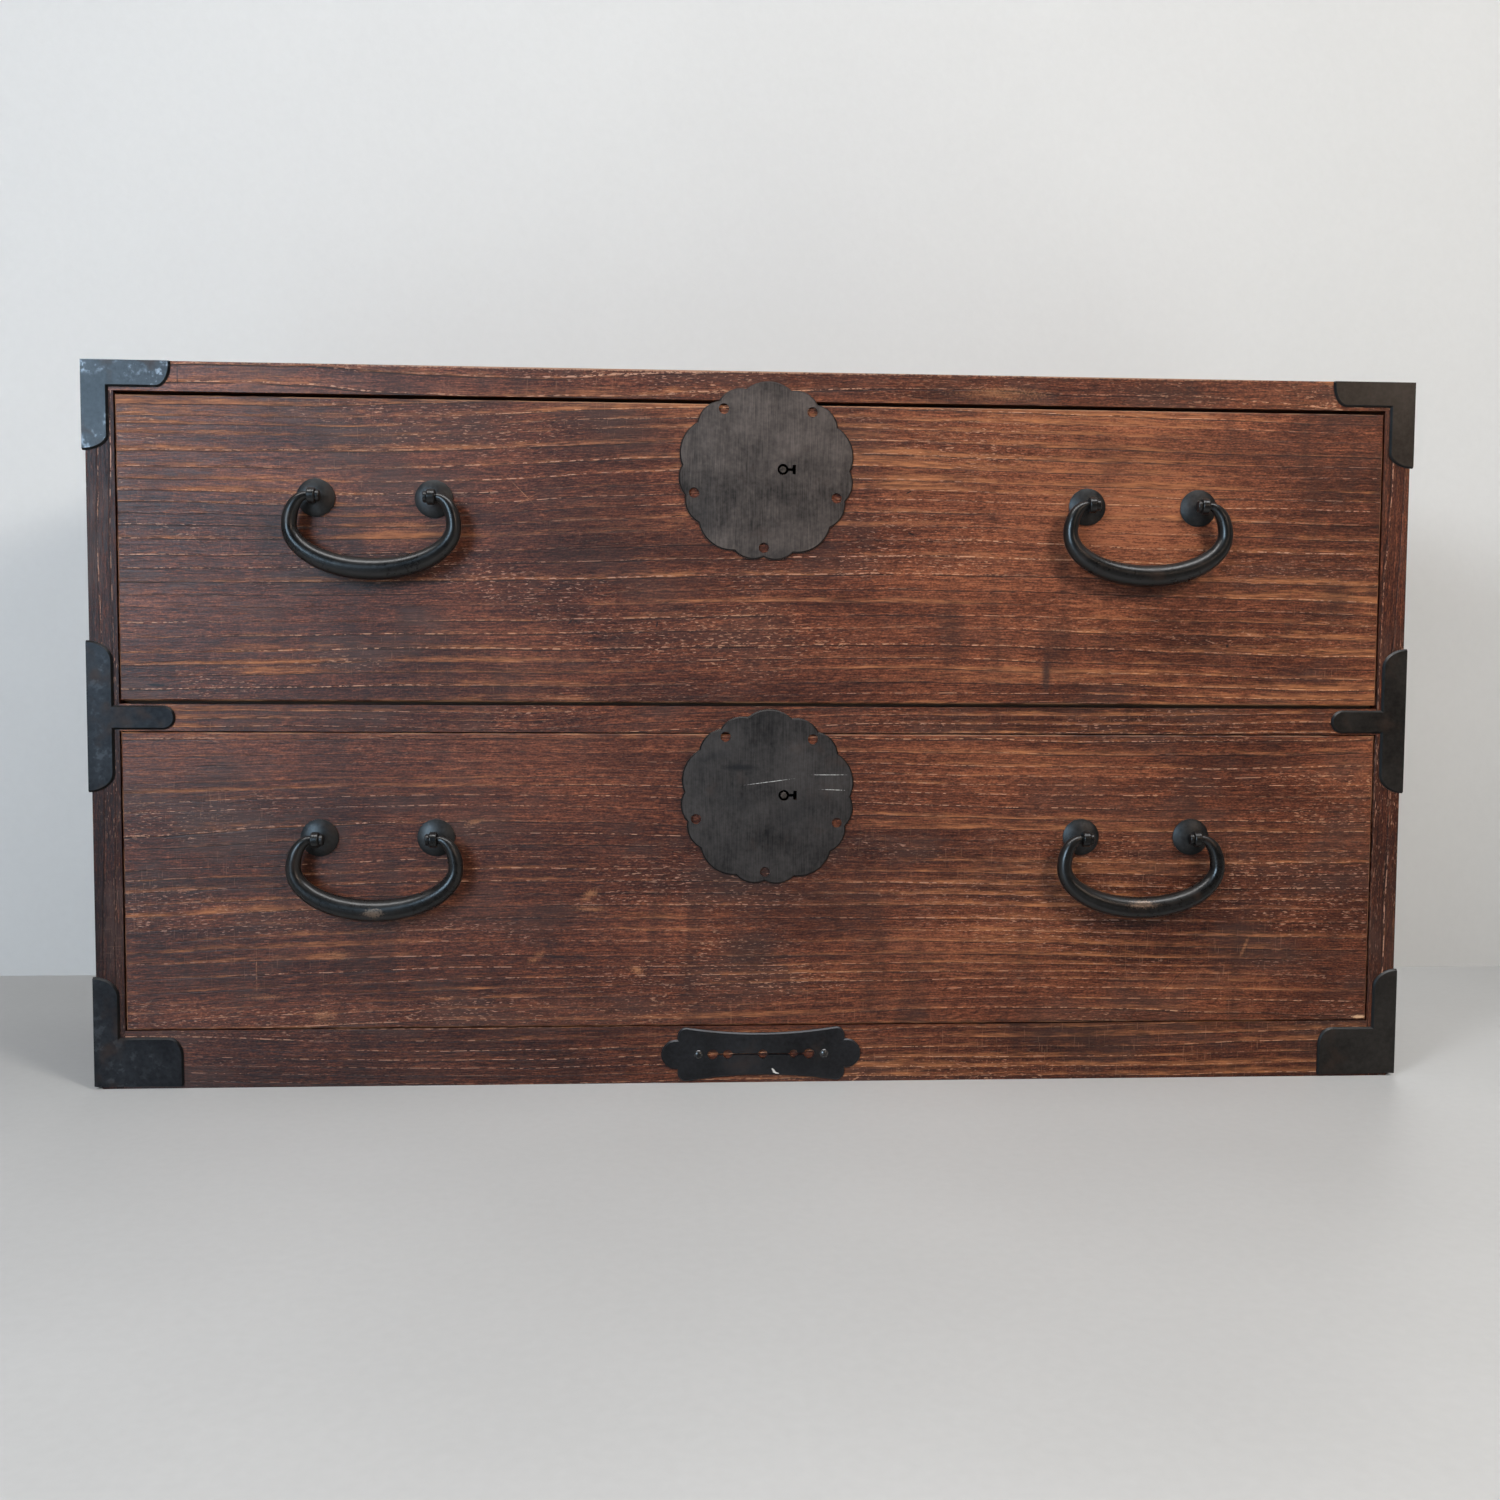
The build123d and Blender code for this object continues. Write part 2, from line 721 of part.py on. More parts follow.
def make_drawer_front(drawer):
    """A drawer front, rabbeted for its sides and bottom, hollowed for its lock, bored for its eyes."""
    with BuildPart() as front:
        slab((-drawer_half, drawer_half), (face_y, inside_y), (drawer.foot_z, drawer.head_z))
        chamfer(front.faces().sort_by(Axis.Y)[0].edges(), front_edge_wear)
        for hand, _ in SIDES:
            slab(
                (hand * (drawer_half - drawer_side_thickness), hand * drawer_half), (lap_y, inside_y),
                (drawer.foot_z, drawer.side_top_z), Mode.SUBTRACT,
            )
        slab((-drawer_half, drawer_half), (lap_y, inside_y), (drawer.foot_z, drawer.floor_z), Mode.SUBTRACT)
        groove_reach = bolt_width / 2 + lock_clearance
        slab(
            (drawer.key_x - groove_reach, drawer.key_x + groove_reach), (inside_y - groove_depth, inside_y),
            (drawer.bolt_foot_z, drawer.head_z), Mode.SUBTRACT,
        )
        key_place = (drawer.key_x, inside_y, drawer.key_z)
        rod(key_place, FRONT, key_pocket_radius, groove_depth, Mode.SUBTRACT)
        rod(key_place, FRONT, key_way_radius, front_thickness, Mode.SUBTRACT)
        for hand, _ in SIDES:
            for place in eye_places(drawer, hand):
                rod(place, BACK, eye_shank_radius + peg_clearance, pivot_reach + front_thickness,
                    Mode.SUBTRACT)
        for spans in lock_prong_spans(drawer, peg_clearance):
            slab(*spans, mode=Mode.SUBTRACT)
        cut_cover_nails(drawer)
        cut_drawer_pegs(drawer)
    return front


def polar(radius, angle):
    """A point at a radius and an angle in degrees."""
    return (radius * cos(radians(angle)), radius * sin(radians(angle)))


def lock_lobes():
    """Start angle, end angle and crest radius of each lobe of a lock plate, round the plate."""
    sector = 360 / lock_sectors
    small = sector * lock_small_lobe_share
    big = sector - 2 * small
    small_radius = lock_plate_radius - lock_small_lobe_drop
    lobes = []
    for index in range(lock_sectors):
        start = 90 + (index + lock_turn_share - 0.5) * sector
        lobes.append((start, start + small, small_radius))
        lobes.append((start + small, start + small + big, lock_plate_radius))
        lobes.append((start + small + big, start + sector, small_radius))
    return lobes


def make_lock_plate(drawer):
    """A scalloped lock plate with its five holes, its keyhole and the prongs behind it."""
    with BuildPart() as plate:
        notch_radius = lock_plate_radius - lock_notch_depth
        plate_plane = Plane(origin=(drawer.lock_x, face_y, drawer.lock_z), x_dir=OUT, z_dir=FRONT)
        with BuildSketch(plate_plane):
            with BuildLine():
                for start, end, crest in lock_lobes():
                    ThreePointArc(
                        polar(notch_radius, start), polar(crest, (start + end) / 2),
                        polar(notch_radius, end),
                    )
            make_face()
        extrude(amount=lock_plate_thickness)
        chamfer(plate.faces().sort_by(Axis.Y)[0].edges(), lock_plate_bevel)
        with BuildSketch(plate_plane):
            first_hole = 90 + (lock_turn_share + 0.5) * 360 / lock_sectors
            hole_circle = lock_plate_radius - lock_hole_inset
            with PolarLocations(hole_circle, lock_sectors, start_angle=first_hole):
                Circle(lock_hole_radius)
            with Locations((key_offset_x, key_offset_z)):
                Circle(key_hole_radius)
                Rectangle(key_slot_length, key_slot_height, align=(Align.MIN, Align.CENTER))
            with Locations((key_offset_x + key_slot_length, key_offset_z)):
                Rectangle(key_flare_width, key_flare_height, align=(Align.MAX, Align.CENTER))
        extrude(amount=lock_plate_thickness, mode=Mode.SUBTRACT)
        for spans in lock_prong_spans(drawer, 0):
            slab(*spans)
    return plate


def make_lock_cover(drawer):
    """The iron plate inside a drawer front that keeps the bolt in its groove and holds the key pin."""
    with BuildPart() as cover:
        slab(
            (drawer.key_x - cover_width / 2, drawer.key_x + cover_width / 2),
            (inside_y, inside_y + cover_thickness), (drawer.cover_foot_z, drawer.cover_top_z),
        )
        rod((drawer.key_x, inside_y, drawer.key_z), BACK, key_pin_radius + peg_clearance,
            cover_thickness, Mode.SUBTRACT)
        cut_cover_nails(drawer)
    return cover


def make_key_pin(drawer):
    """The pin that shows in the keyhole and that the key's barrel slips over."""
    pin_y = face_y - lock_plate_thickness + key_pin_recess
    with BuildPart() as pin:
        pin_length = inside_y + cover_thickness - pin_y
        rod((drawer.key_x, pin_y, drawer.key_z), BACK, key_pin_radius, pin_length)
        chamfer(pin.faces().sort_by(Axis.Y)[0].edges(), key_pin_recess)
    return pin


def make_lock_bolt(drawer):
    """The flat bolt that the key lifts into the board above."""
    with BuildPart() as bolt:
        slab(
            (drawer.key_x - bolt_width / 2, drawer.key_x + bolt_width / 2), (bolt_front_y, bolt_back_y),
            (drawer.bolt_foot_z, drawer.head_z - bolt_setback),
        )
        chamfer(bolt.faces().sort_by(Axis.Z)[-1].edges(), lock_clearance)
    return bolt


def make_lock_nails(drawer):
    """The four nails of a lock's cover plate."""
    with BuildPart() as nails:
        for x, y, z in cover_nail_places(drawer):
            rod((x, y, z), FRONT, cover_nail_radius, cover_nail_length)
            rod((x, y, z), BACK, cover_nail_head_radius, cover_nail_head_height)
    return nails


def make_drawer_side(drawer, hand):
    """A drawer side, let into the front's rabbet and standing on the drawer's bottom."""
    with BuildPart() as side:
        slab(
            (hand * (drawer_half - drawer_side_thickness), hand * drawer_half), (lap_y, drawer_back_y),
            (drawer.floor_z, drawer.side_top_z),
        )
        cut_drawer_pegs(drawer)
    return side


def make_drawer_back(drawer):
    """A drawer back, between the sides and a little lower."""
    reach = drawer_half - drawer_side_thickness
    with BuildPart() as back:
        slab(
            (-reach, reach), (drawer_back_y - drawer_back_thickness, drawer_back_y),
            (drawer.floor_z, drawer.back_top_z),
        )
        cut_drawer_pegs(drawer)
    return back


def make_drawer_bottom(drawer):
    """A drawer bottom, under the sides and back and let into the front."""
    with BuildPart() as bottom:
        slab((-drawer_half, drawer_half), (lap_y, drawer_back_y), (drawer.run_z, drawer.floor_z))
    return bottom


def make_drawer_pegs(drawer):
    """The wooden pegs that hold a drawer's corners."""
    with BuildPart() as pegs:
        for foot, inward in drawer_peg_places(drawer):
            rod(foot, inward, peg_radius, drawer_peg_bite + drawer_side_thickness)
    return pegs


# Domed rosette behind a handle's eye, its centre on the drawer's face at the origin
with BuildPart() as rosette:
    inner = eye_shank_radius + peg_clearance
    dome_middle = rosette_rim + (rosette_height - rosette_rim) * sin(radians(45))
    with BuildSketch(Plane.XY):
        with BuildLine():
            Polyline((inner, 0), (rosette_radius, 0), (rosette_radius, -rosette_rim))
            ThreePointArc(
                (rosette_radius, -rosette_rim),
                ((rosette_radius + inner) / 2, -dome_middle),
                (inner, -rosette_height),
            )
            Line((inner, -rosette_height), (inner, 0))
        make_face()
    revolve(axis=Axis.Y)

# Eye that carries a handle: a ring on a shank that passes through the drawer front, its legs clinched inside
with BuildPart() as eye:
    shank_length = pivot_reach + front_thickness + clinch_thickness
    rod((-eye_width / 2, 0, 0), OUT, eye_radius, eye_width)
    fillet(eye.edges().filter_by(GeomType.CIRCLE), eye_edge)
    rod((0, 0, 0), BACK, eye_shank_radius, shank_length)
    slab(
        (-clinch_length, clinch_length), (shank_length - clinch_thickness, shank_length),
        (-eye_shank_radius, eye_shank_radius),
    )
    rod((-eye_width / 2, 0, 0), OUT, handle_end_radius + swing_clearance, eye_width, Mode.SUBTRACT)


def bail_sections():
    """Centre, heading and radius of the handle's round sections, from its right-hand eye to the other."""
    stub_x = eye_half + eye_width / 2 + handle_end_gap
    shoulder_reach = handle_half_width - stub_x
    bar_drop = handle_drop - shoulder_drop
    sections = []
    for step in range(shoulder_steps):
        turn = radians(90 * step / shoulder_steps)
        centre = (stub_x + shoulder_reach * sin(turn), 0, shoulder_drop * (cos(turn) - 1))
        heading = (shoulder_reach * cos(turn), 0, -shoulder_drop * sin(turn))
        radius = handle_end_radius + (shoulder_radius - handle_end_radius) * sin(turn)
        sections.append((centre, heading, radius))
    for step in range(bar_steps + 1):
        turn = radians(90 * step / bar_steps)
        centre = (handle_half_width * cos(turn), 0, -shoulder_drop - bar_drop * sin(turn))
        heading = (-handle_half_width * sin(turn), 0, -bar_drop * cos(turn))
        swell = sin(turn) * (1 - middle_swell_share + middle_swell_share * sin(turn))
        radius = shoulder_radius + (bar_radius - shoulder_radius) * swell
        sections.append((centre, heading, radius))
    for (x, y, z), (head_x, head_y, head_z), radius in reversed(sections[:-1]):
        sections.append(((-x, y, z), (head_x, head_y, -head_z), radius))
    return sections


# Right-hand end of a handle, which turns in its eye and has a button on the inside of it
with BuildPart() as bail_end:
    button_x = eye_half - eye_width / 2 - handle_end_gap
    rod((button_x - button_length, 0, 0), OUT, button_radius, button_length)
    fillet(bail_end.faces().sort_by(Axis.X)[0].edges(), button_edge)
    rod((button_x, 0, 0), OUT, handle_end_radius, eye_width + 2 * handle_end_gap)

# Bail handle hanging from its two eyes, thick in the middle. Its pivot axis is the X axis.
with BuildPart() as bail:
    for centre, heading, radius in bail_sections():
        with BuildSketch(Plane(origin=centre, x_dir=BACK, z_dir=heading)):
            Circle(radius)
    loft()
    add(bail_end.part)
    mirror(bail_end.part, about=Plane.YZ)

for drawer in (upper_drawer, lower_drawer):
    drawer_name = f"{drawer.level}_drawer"
    save(make_drawer_front(drawer), f"{drawer_name}_front")
    for hand, side in SIDES:
        save(make_drawer_side(drawer, hand), f"{drawer_name}_{side}_side")
    save(make_drawer_back(drawer), f"{drawer_name}_back")
    save(make_drawer_bottom(drawer), f"{drawer_name}_bottom")
    save(make_drawer_pegs(drawer), f"{drawer_name}_pegs")
    save(make_lock_plate(drawer), f"{drawer.level}_lock_plate")
    save(make_lock_cover(drawer), f"{drawer.level}_lock_cover")
    save(make_key_pin(drawer), f"{drawer.level}_key_pin")
    save(make_lock_bolt(drawer), f"{drawer.level}_lock_bolt")
    save(make_lock_nails(drawer), f"{drawer.level}_lock_nails")
    for hand, side in SIDES:
        places = eye_places(drawer, hand)
        with BuildPart() as rosettes:
            with Locations(*[(x, face_y, z) for x, _, z in places]):
                add(rosette.part)
        save(rosettes, f"{drawer.level}_{side}_handle_rosettes")
        with BuildPart() as eyes:
            with Locations(*places):
                add(eye.part)
        save(eyes, f"{drawer.level}_{side}_handle_eyes")
        with BuildPart() as handle:
            with Locations((hand * handle_x, pivot_y, drawer.pivot_z)):
                add(bail.part)
        save(handle, f"{drawer.level}_{side}_handle")
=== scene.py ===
"""Looks of a low two-drawer tansu chest: lacquered open-grained wood, blackened iron and soft light."""

import math

import bpy
from mathutils import Matrix, Vector


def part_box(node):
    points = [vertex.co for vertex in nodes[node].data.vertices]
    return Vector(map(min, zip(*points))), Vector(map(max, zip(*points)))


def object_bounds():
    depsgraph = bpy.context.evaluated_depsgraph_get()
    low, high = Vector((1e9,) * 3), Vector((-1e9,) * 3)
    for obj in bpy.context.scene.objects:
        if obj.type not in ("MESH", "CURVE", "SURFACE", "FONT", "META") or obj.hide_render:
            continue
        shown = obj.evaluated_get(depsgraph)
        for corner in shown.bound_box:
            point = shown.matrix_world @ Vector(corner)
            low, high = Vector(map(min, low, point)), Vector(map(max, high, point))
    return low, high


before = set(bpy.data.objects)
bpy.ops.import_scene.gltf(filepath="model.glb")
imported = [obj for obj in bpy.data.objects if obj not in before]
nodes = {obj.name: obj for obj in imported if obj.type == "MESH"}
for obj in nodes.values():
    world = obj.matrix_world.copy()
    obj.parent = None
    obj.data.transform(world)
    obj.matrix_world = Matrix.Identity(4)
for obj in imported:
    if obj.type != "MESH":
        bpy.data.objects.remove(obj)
cad_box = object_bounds()

MM = 0.001
ORIGIN, UNIT, UP = (0.0, 0.0, 0.0), (1.0, 1.0, 1.0), (0.0, 0.0, 1.0)

# Sockets of a Mix node that mixes colours
MIX_FACTOR, MIX_UNDER, MIX_OVER, MIX_RESULT = 0, 6, 7, 2

# Largest part of a face's normal where the face begins to count as a bevel, and where it fully does
BEVEL_START, BEVEL_FULL = 0.97, 0.86

# How deep a mark on a front face reaches, and the fineness of its ragged edge in features per metre
MARK_DEPTH = 6.0 * MM
EDGE_FINENESS = (700.0, 700.0, 900.0)


def shade(colour, share):
    """A colour made darker or paler in all its parts."""
    return tuple(part * share for part in colour)


class Surface:
    """A material built from nodes, with short calls for the nodes it needs."""

    def __init__(self, name):
        self.material = bpy.data.materials.new(name)
        self.material.use_nodes = True
        self.tree = self.material.node_tree
        self.tree.nodes.clear()
        self.shader = self.new("ShaderNodeBsdfPrincipled")
        self.output = self.new("ShaderNodeOutputMaterial")
        self.feed(self.output.inputs["Surface"], self.shader.outputs["BSDF"])
        coordinates = self.new("ShaderNodeTexCoord")
        self.place = coordinates.outputs["Object"]
        self.normal = coordinates.outputs["Normal"]
        self.colour = None

    def new(self, kind):
        return self.tree.nodes.new(kind)

    def feed(self, socket, value):
        """Link a node's result to a socket, or set the socket to a constant."""
        if isinstance(value, bpy.types.NodeSocket):
            self.tree.links.new(value, socket)
        else:
            socket.default_value = value

    def set(self, **values):
        """Set or link the shader's own inputs."""
        for name, value in values.items():
            self.feed(self.shader.inputs[name.replace("_", " ")], value)

    def operate(self, kind, operation, values):
        """What a node that works on values gives out."""
        node = self.new(kind)
        node.operation = operation
        for socket, value in zip(node.inputs, values):
            self.feed(socket, value)
        return node.outputs

    def math(self, operation, *values):
        return self.operate("ShaderNodeMath", operation, values)[0]

    def vector(self, operation, *values):
        outputs = self.operate("ShaderNodeVectorMath", operation, values)
        return outputs["Value" if operation in ("DOT_PRODUCT", "LENGTH") else "Vector"]

    def away(self, value, middle):
        """Distance of a value from a middle one."""
        return self.math("ABSOLUTE", self.math("SUBTRACT", value, middle))

    def scaled(self, vector, factor):
        node = self.new("ShaderNodeVectorMath")
        node.operation = "SCALE"
        self.feed(node.inputs[0], vector)
        self.feed(node.inputs["Scale"], factor)
        return node.outputs["Vector"]

    def stretch(self, vector, scale, shift=ORIGIN, turn=ORIGIN):
        node = self.new("ShaderNodeMapping")
        self.feed(node.inputs["Vector"], vector)
        node.inputs["Location"].default_value = shift
        node.inputs["Rotation"].default_value = turn
        node.inputs["Scale"].default_value = scale
        return node.outputs["Vector"]

    def noise(self, vector, detail=2.0, roughness=0.5):
        node = self.new("ShaderNodeTexNoise")
        self.feed(node.inputs["Vector"], vector)
        node.inputs["Scale"].default_value = 1.0
        node.inputs["Detail"].default_value = detail
        node.inputs["Roughness"].default_value = roughness
        return node.outputs["Fac"]

    def mottle(self, fineness, shift=ORIGIN, detail=2.0, roughness=0.5):
        """Noise alike in every direction, with so many features per metre."""
        return self.noise(self.stretch(self.place, (fineness,) * 3, shift), detail, roughness)

    def band(self, value, low, high, start=0.0, end=1.0):
        """Smooth step of a value from low to high, given out between start and end."""
        node = self.new("ShaderNodeMapRange")
        node.interpolation_type = "SMOOTHSTEP"
        self.feed(node.inputs["Value"], value)
        node.inputs["From Min"].default_value = low
        node.inputs["From Max"].default_value = high
        node.inputs["To Min"].default_value = start
        node.inputs["To Max"].default_value = end
        return node.outputs["Result"]

    def ramp(self, value, stops):
        """Colour of a value, from pairs of value and colour."""
        node = self.new("ShaderNodeValToRGB")
        self.feed(node.inputs["Fac"], value)
        elements = node.color_ramp.elements
        while len(elements) < len(stops):
            elements.new(0.5)
        for element, (position, colour) in zip(elements, stops):
            element.position = position
            element.color = (*colour, 1.0)
        return node.outputs["Color"]

    def product(self, *factors):
        """Product of masks and strengths."""
        result = factors[0]
        for factor in factors[1:]:
            result = self.math("MULTIPLY", result, factor)
        return result

    def blend(self, *parts):
        """Weighted sum of values, each part a pair of value and weight."""
        total = self.math("MULTIPLY", *parts[0])
        for value, weight in parts[1:]:
            total = self.math("MULTIPLY_ADD", value, weight, total)
        return total

    def paint(self, colour, *masks, strength=1.0):
        """Lay a colour over the surface where the masks are."""
        node = self.new("ShaderNodeMix")
        node.data_type = "RGBA"
        self.feed(node.inputs[MIX_FACTOR], self.product(*masks, strength))
        self.feed(node.inputs[MIX_UNDER], self.colour)
        self.feed(node.inputs[MIX_OVER], (*colour, 1.0) if isinstance(colour, tuple) else colour)
        self.colour = node.outputs[MIX_RESULT]

    def bump(self, height, strength, distance):
        node = self.new("ShaderNodeBump")
        node.inputs["Strength"].default_value = strength
        node.inputs["Distance"].default_value = distance
        self.feed(node.inputs["Height"], height)
        self.feed(self.shader.inputs["Normal"], node.outputs["Normal"])

    def bevels(self):
        """Mask of the faces that lean away from every axis, which are the eased edges of flat pieces."""
        split = self.new("ShaderNodeSeparateXYZ")
        self.feed(split.inputs[0], self.vector("ABSOLUTE", self.normal))
        x, y, z = split.outputs
        return self.band(self.math("MAXIMUM", self.math("MAXIMUM", x, y), z), BEVEL_START, BEVEL_FULL)

    def spot(self, face_y, x, z, half_length, half_height, turn=0.0, soft=0.5, ragged=0.35):
        """Mask of one mark on a front face: an ellipse round (x, z), in millimetres, with ragged edges."""
        offset = self.vector("SUBTRACT", self.place, (x * MM, face_y, z * MM))
        offset = self.stretch(offset, UNIT, turn=(0.0, math.radians(turn), 0.0))
        half_sizes = half_length * MM, MARK_DEPTH, half_height * MM
        offset = self.stretch(offset, tuple(1.0 / half_size for half_size in half_sizes))
        edge = self.noise(self.stretch(self.place, EDGE_FINENESS, shift=(x, 0.0, z)))
        distance = self.blend((edge, 2.0 * ragged), (self.vector("LENGTH", offset), 1.0))
        return self.band(distance, 1.0 + ragged, 1.0 + ragged - soft)


class Wood(Surface):
    """A surface with noise drawn out along the grain. Some of its layers use a second shift of the noise."""

    def __init__(self, name, grain, shift, other=ORIGIN):
        super().__init__(name)
        self.grain = grain
        self.shift = shift
        self.other = other
        self.bent = self.place

    def drawn(self, length, width, shift=None, detail=2.0, roughness=0.5, straight=False):
        """Noise with so many features per metre along the grain and across it."""
        scale = tuple(length if axis == self.grain else width for axis in "XYZ")
        place = self.place if straight else self.bent
        return self.noise(self.stretch(place, scale, shift or self.shift), detail, roughness)


# Colours of the lacquered wood: by tone, where the lacquer is dull, and where it is worn off, by fraying
LACQUER_TONES = (
    (0.36, (0.0095, 0.0022, 0.0010)),
    (0.44, (0.0300, 0.0076, 0.0034)),
    (0.50, (0.0640, 0.0176, 0.0082)),
    (0.56, (0.1170, 0.0348, 0.0158)),
    (0.65, (0.2500, 0.0840, 0.0370)),
)
DULL_LACQUER = (0.050, 0.0255, 0.0195)
WORN_TONES = (0.38, (0.130, 0.043, 0.016)), (0.64, (0.360, 0.142, 0.054))

# Colours of what lies in and on the lacquered wood
PORE_BLACK = (0.0060, 0.0018, 0.0010)
DUST_TONES = (0.40, (0.450, 0.255, 0.180)), (0.60, (0.500, 0.270, 0.160))
WOOD_STAIN = (0.018, 0.0085, 0.0065)
SCUFFED_WOOD = (0.300, 0.150, 0.085)
RUBBED_EDGE = (0.300, 0.150, 0.080)

# Strength and colour of each kind of single mark in the wood
WOOD_MARKS = {
    "dent": (0.95, (0.006, 0.004, 0.004)),
    "knot": (0.80, (0.016, 0.011, 0.010)),
    "scuff": (0.60, (0.330, 0.150, 0.068)),
    "chip": (0.90, (0.480, 0.300, 0.180)),
    "shade": (0.50, (0.018, 0.0095, 0.0075)),
    "crack": (0.75, (0.012, 0.006, 0.005)),
    # A pale line along an edge, partly worn lacquer and partly painted highlight
    "edge wear and highlight": (0.60, (0.420, 0.250, 0.160)),
}

# How far the grain sways in slow waves and in ripples, and how much of that is taken off to even it out
WAVE, RIPPLE, MEAN_SWAY = 36.0 * MM, 3.5 * MM, 20.0 * MM
RING_UNEVENNESS = 3.6
BASE_TONE, BASE_ROUGHNESS = -0.096, 0.34


class LacqueredWood(Wood):
    """Old dark lacquer over open-grained wood, worn orange-brown along the grain, with dust in its pores."""

    def __init__(self, name, grain, seed, ring_mm, ring_way, wear=0.0, tone=0.0, shine=0.18, face_y=0.0,
                 zones=(), marks=()):
        super().__init__(name, grain, shift=(seed * 3.7, seed * 5.3, seed * 7.9),
                         other=(seed * 1.9, seed * 8.3, seed * 2.7))
        self.bend_grain()
        self.grow_rings(ring_mm, ring_way)
        self.lay_lacquer(tone, wear, face_y, zones)
        self.wear_off()
        self.sink_pores()
        self.strew_dust()
        self.stain()
        self.mark(face_y, marks)
        self.polish(shine)

    def bend_grain(self):
        """Let the grain run in slow waves with a little unevenness."""
        wave = self.drawn(1.3, 4.0, detail=1.0)
        ripple = self.drawn(9.0, 40.0, self.other)
        sway = self.math("SUBTRACT", self.blend((wave, WAVE), (ripple, RIPPLE)), MEAN_SWAY)
        across = tuple(float(axis != self.grain) for axis in "XYZ")
        self.bent = self.vector("ADD", self.place, self.scaled(across, sway))

    def grow_rings(self, ring_mm, ring_way):
        """Growth rings of uneven width, each with a thin dark seam, a row of pores and paler early wood."""
        rings = self.vector("DOT_PRODUCT", self.bent, tuple(part / (ring_mm * MM) for part in ring_way))
        rings = self.blend((self.drawn(0.5, 22.0, detail=1.0), RING_UNEVENNESS), (rings, 1.0))
        phase = self.math("FRACT", rings)
        self.row = self.band(self.away(phase, 0.095), 0.052, 0.020)
        self.seam = self.band(self.away(phase, 0.5), 0.445, 0.486)
        self.early = self.band(phase, 0.80, 0.05)

    def lay_lacquer(self, tone, wear, face_y, zones):
        """Clouds, long lines, fine fibres and specks, paler or barer in zones, with greyer dull patches."""
        self.lines = self.drawn(1.2, 90.0, detail=4.0, roughness=0.75)
        thread = self.drawn(14.0, 760.0, self.other, detail=1.0)
        self.fibre = self.drawn(120.0, 1400.0, detail=1.0)
        speck = self.drawn(520.0, 1100.0, self.other, roughness=0.6)
        self.cloud = self.drawn(4.0, 13.0, self.other, detail=5.0, roughness=0.62, straight=True)
        tones = self.blend((self.lines, 0.15), (thread, 0.11), (self.fibre, 0.28), (speck, 0.30),
                           (self.cloud, 0.34), (self.early, 0.022))
        tones = self.math("ADD", tones, tone + BASE_TONE)
        self.bared = wear
        for paler, barer, zone in zones:
            mask = self.spot(face_y, **zone, soft=1.0, ragged=0.3)
            tones = self.blend((mask, paler), (tones, 1.0))
            self.bared = self.blend((mask, barer), (self.bared, 1.0))
        self.colour = self.ramp(tones, LACQUER_TONES)
        dull = self.band(self.drawn(13.0, 30.0, detail=4.0, roughness=0.6, straight=True), 0.46, 0.66)
        self.paint(DULL_LACQUER, dull, self.band(self.bared, -0.6, 0.9, 0.80, 0.06))

    def wear_off(self):
        """Frayed bands of early wood where the lacquer has worn off."""
        self.region = self.drawn(2.6, 9.0, self.other, straight=True)
        broad = self.drawn(2.4, 70.0, self.other)
        self.frayed = self.drawn(40.0, 560.0, detail=4.0, roughness=0.75)
        worn = self.blend((broad, 0.34), (self.frayed, 0.30), (self.region, 0.40), (self.early, 0.10),
                          (self.bared, 0.10))
        self.worn = self.band(worn, 0.585, 0.730)
        self.paint(self.ramp(self.frayed, WORN_TONES), self.worn, strength=0.80)

    def sink_pores(self):
        """Fine dark pores, and the broken dark seams between the rings."""
        pore = self.band(self.drawn(48.0, 1500.0, self.other, detail=1.0), 0.545, 0.605)
        self.pore = self.product(pore, self.band(self.row, 0.0, 0.7, 0.45, 1.0))
        broken = self.band(self.drawn(45.0, 300.0, detail=3.0, roughness=0.7), 0.33, 0.48)
        faint = self.band(self.drawn(3.0, 60.0), 0.36, 0.56, 0.30, 1.0)
        self.seam = self.product(self.seam, broken, faint)
        dark = self.math("MAXIMUM", self.product(self.pore, 0.78), self.product(self.seam, 0.94))
        self.paint(PORE_BLACK, dark)

    def strew_dust(self):
        """Pale dust in dashes beside the seams, thinner along some, and loose flecks of it between them."""
        dash = self.band(self.drawn(190.0, 520.0, self.other, roughness=0.7), 0.48, 0.58)
        thin = self.band(self.drawn(3.0, 60.0, self.other), 0.42, 0.62, 0.12, 1.0)
        fleck = self.band(self.drawn(240.0, 1200.0), 0.61, 0.68)
        dusty = self.band(self.drawn(6.0, 30.0, detail=3.0, straight=True), 0.46, 0.64, 0.08, 1.0)
        dust = self.math("MAXIMUM", self.product(self.row, thin, dash), self.product(fleck, dusty, 0.75))
        self.paint(self.ramp(self.cloud, DUST_TONES), dust, strength=0.72)

    def stain(self):
        """Dark stains, some of them drawn across the grain, faint scuffs and rubbed edges."""
        self.stained = self.band(self.drawn(5.0, 9.0, detail=4.0, straight=True), 0.54, 0.74)
        smear = self.band(self.drawn(42.0, 7.0, self.other, detail=3.0, straight=True), 0.55, 0.74)
        self.paint(WOOD_STAIN, self.blend((self.stained, 0.46), (smear, 0.36)))
        scuff = self.band(self.drawn(900.0, 90.0, detail=1.0, straight=True), 0.64, 0.76)
        self.paint(SCUFFED_WOOD, scuff, self.band(self.region, 0.44, 0.62), strength=0.25)
        uneven = self.band(self.drawn(45.0, 45.0, detail=3.0, straight=True), 0.38, 0.62)
        self.paint(RUBBED_EDGE, self.bevels(), uneven, strength=0.55)

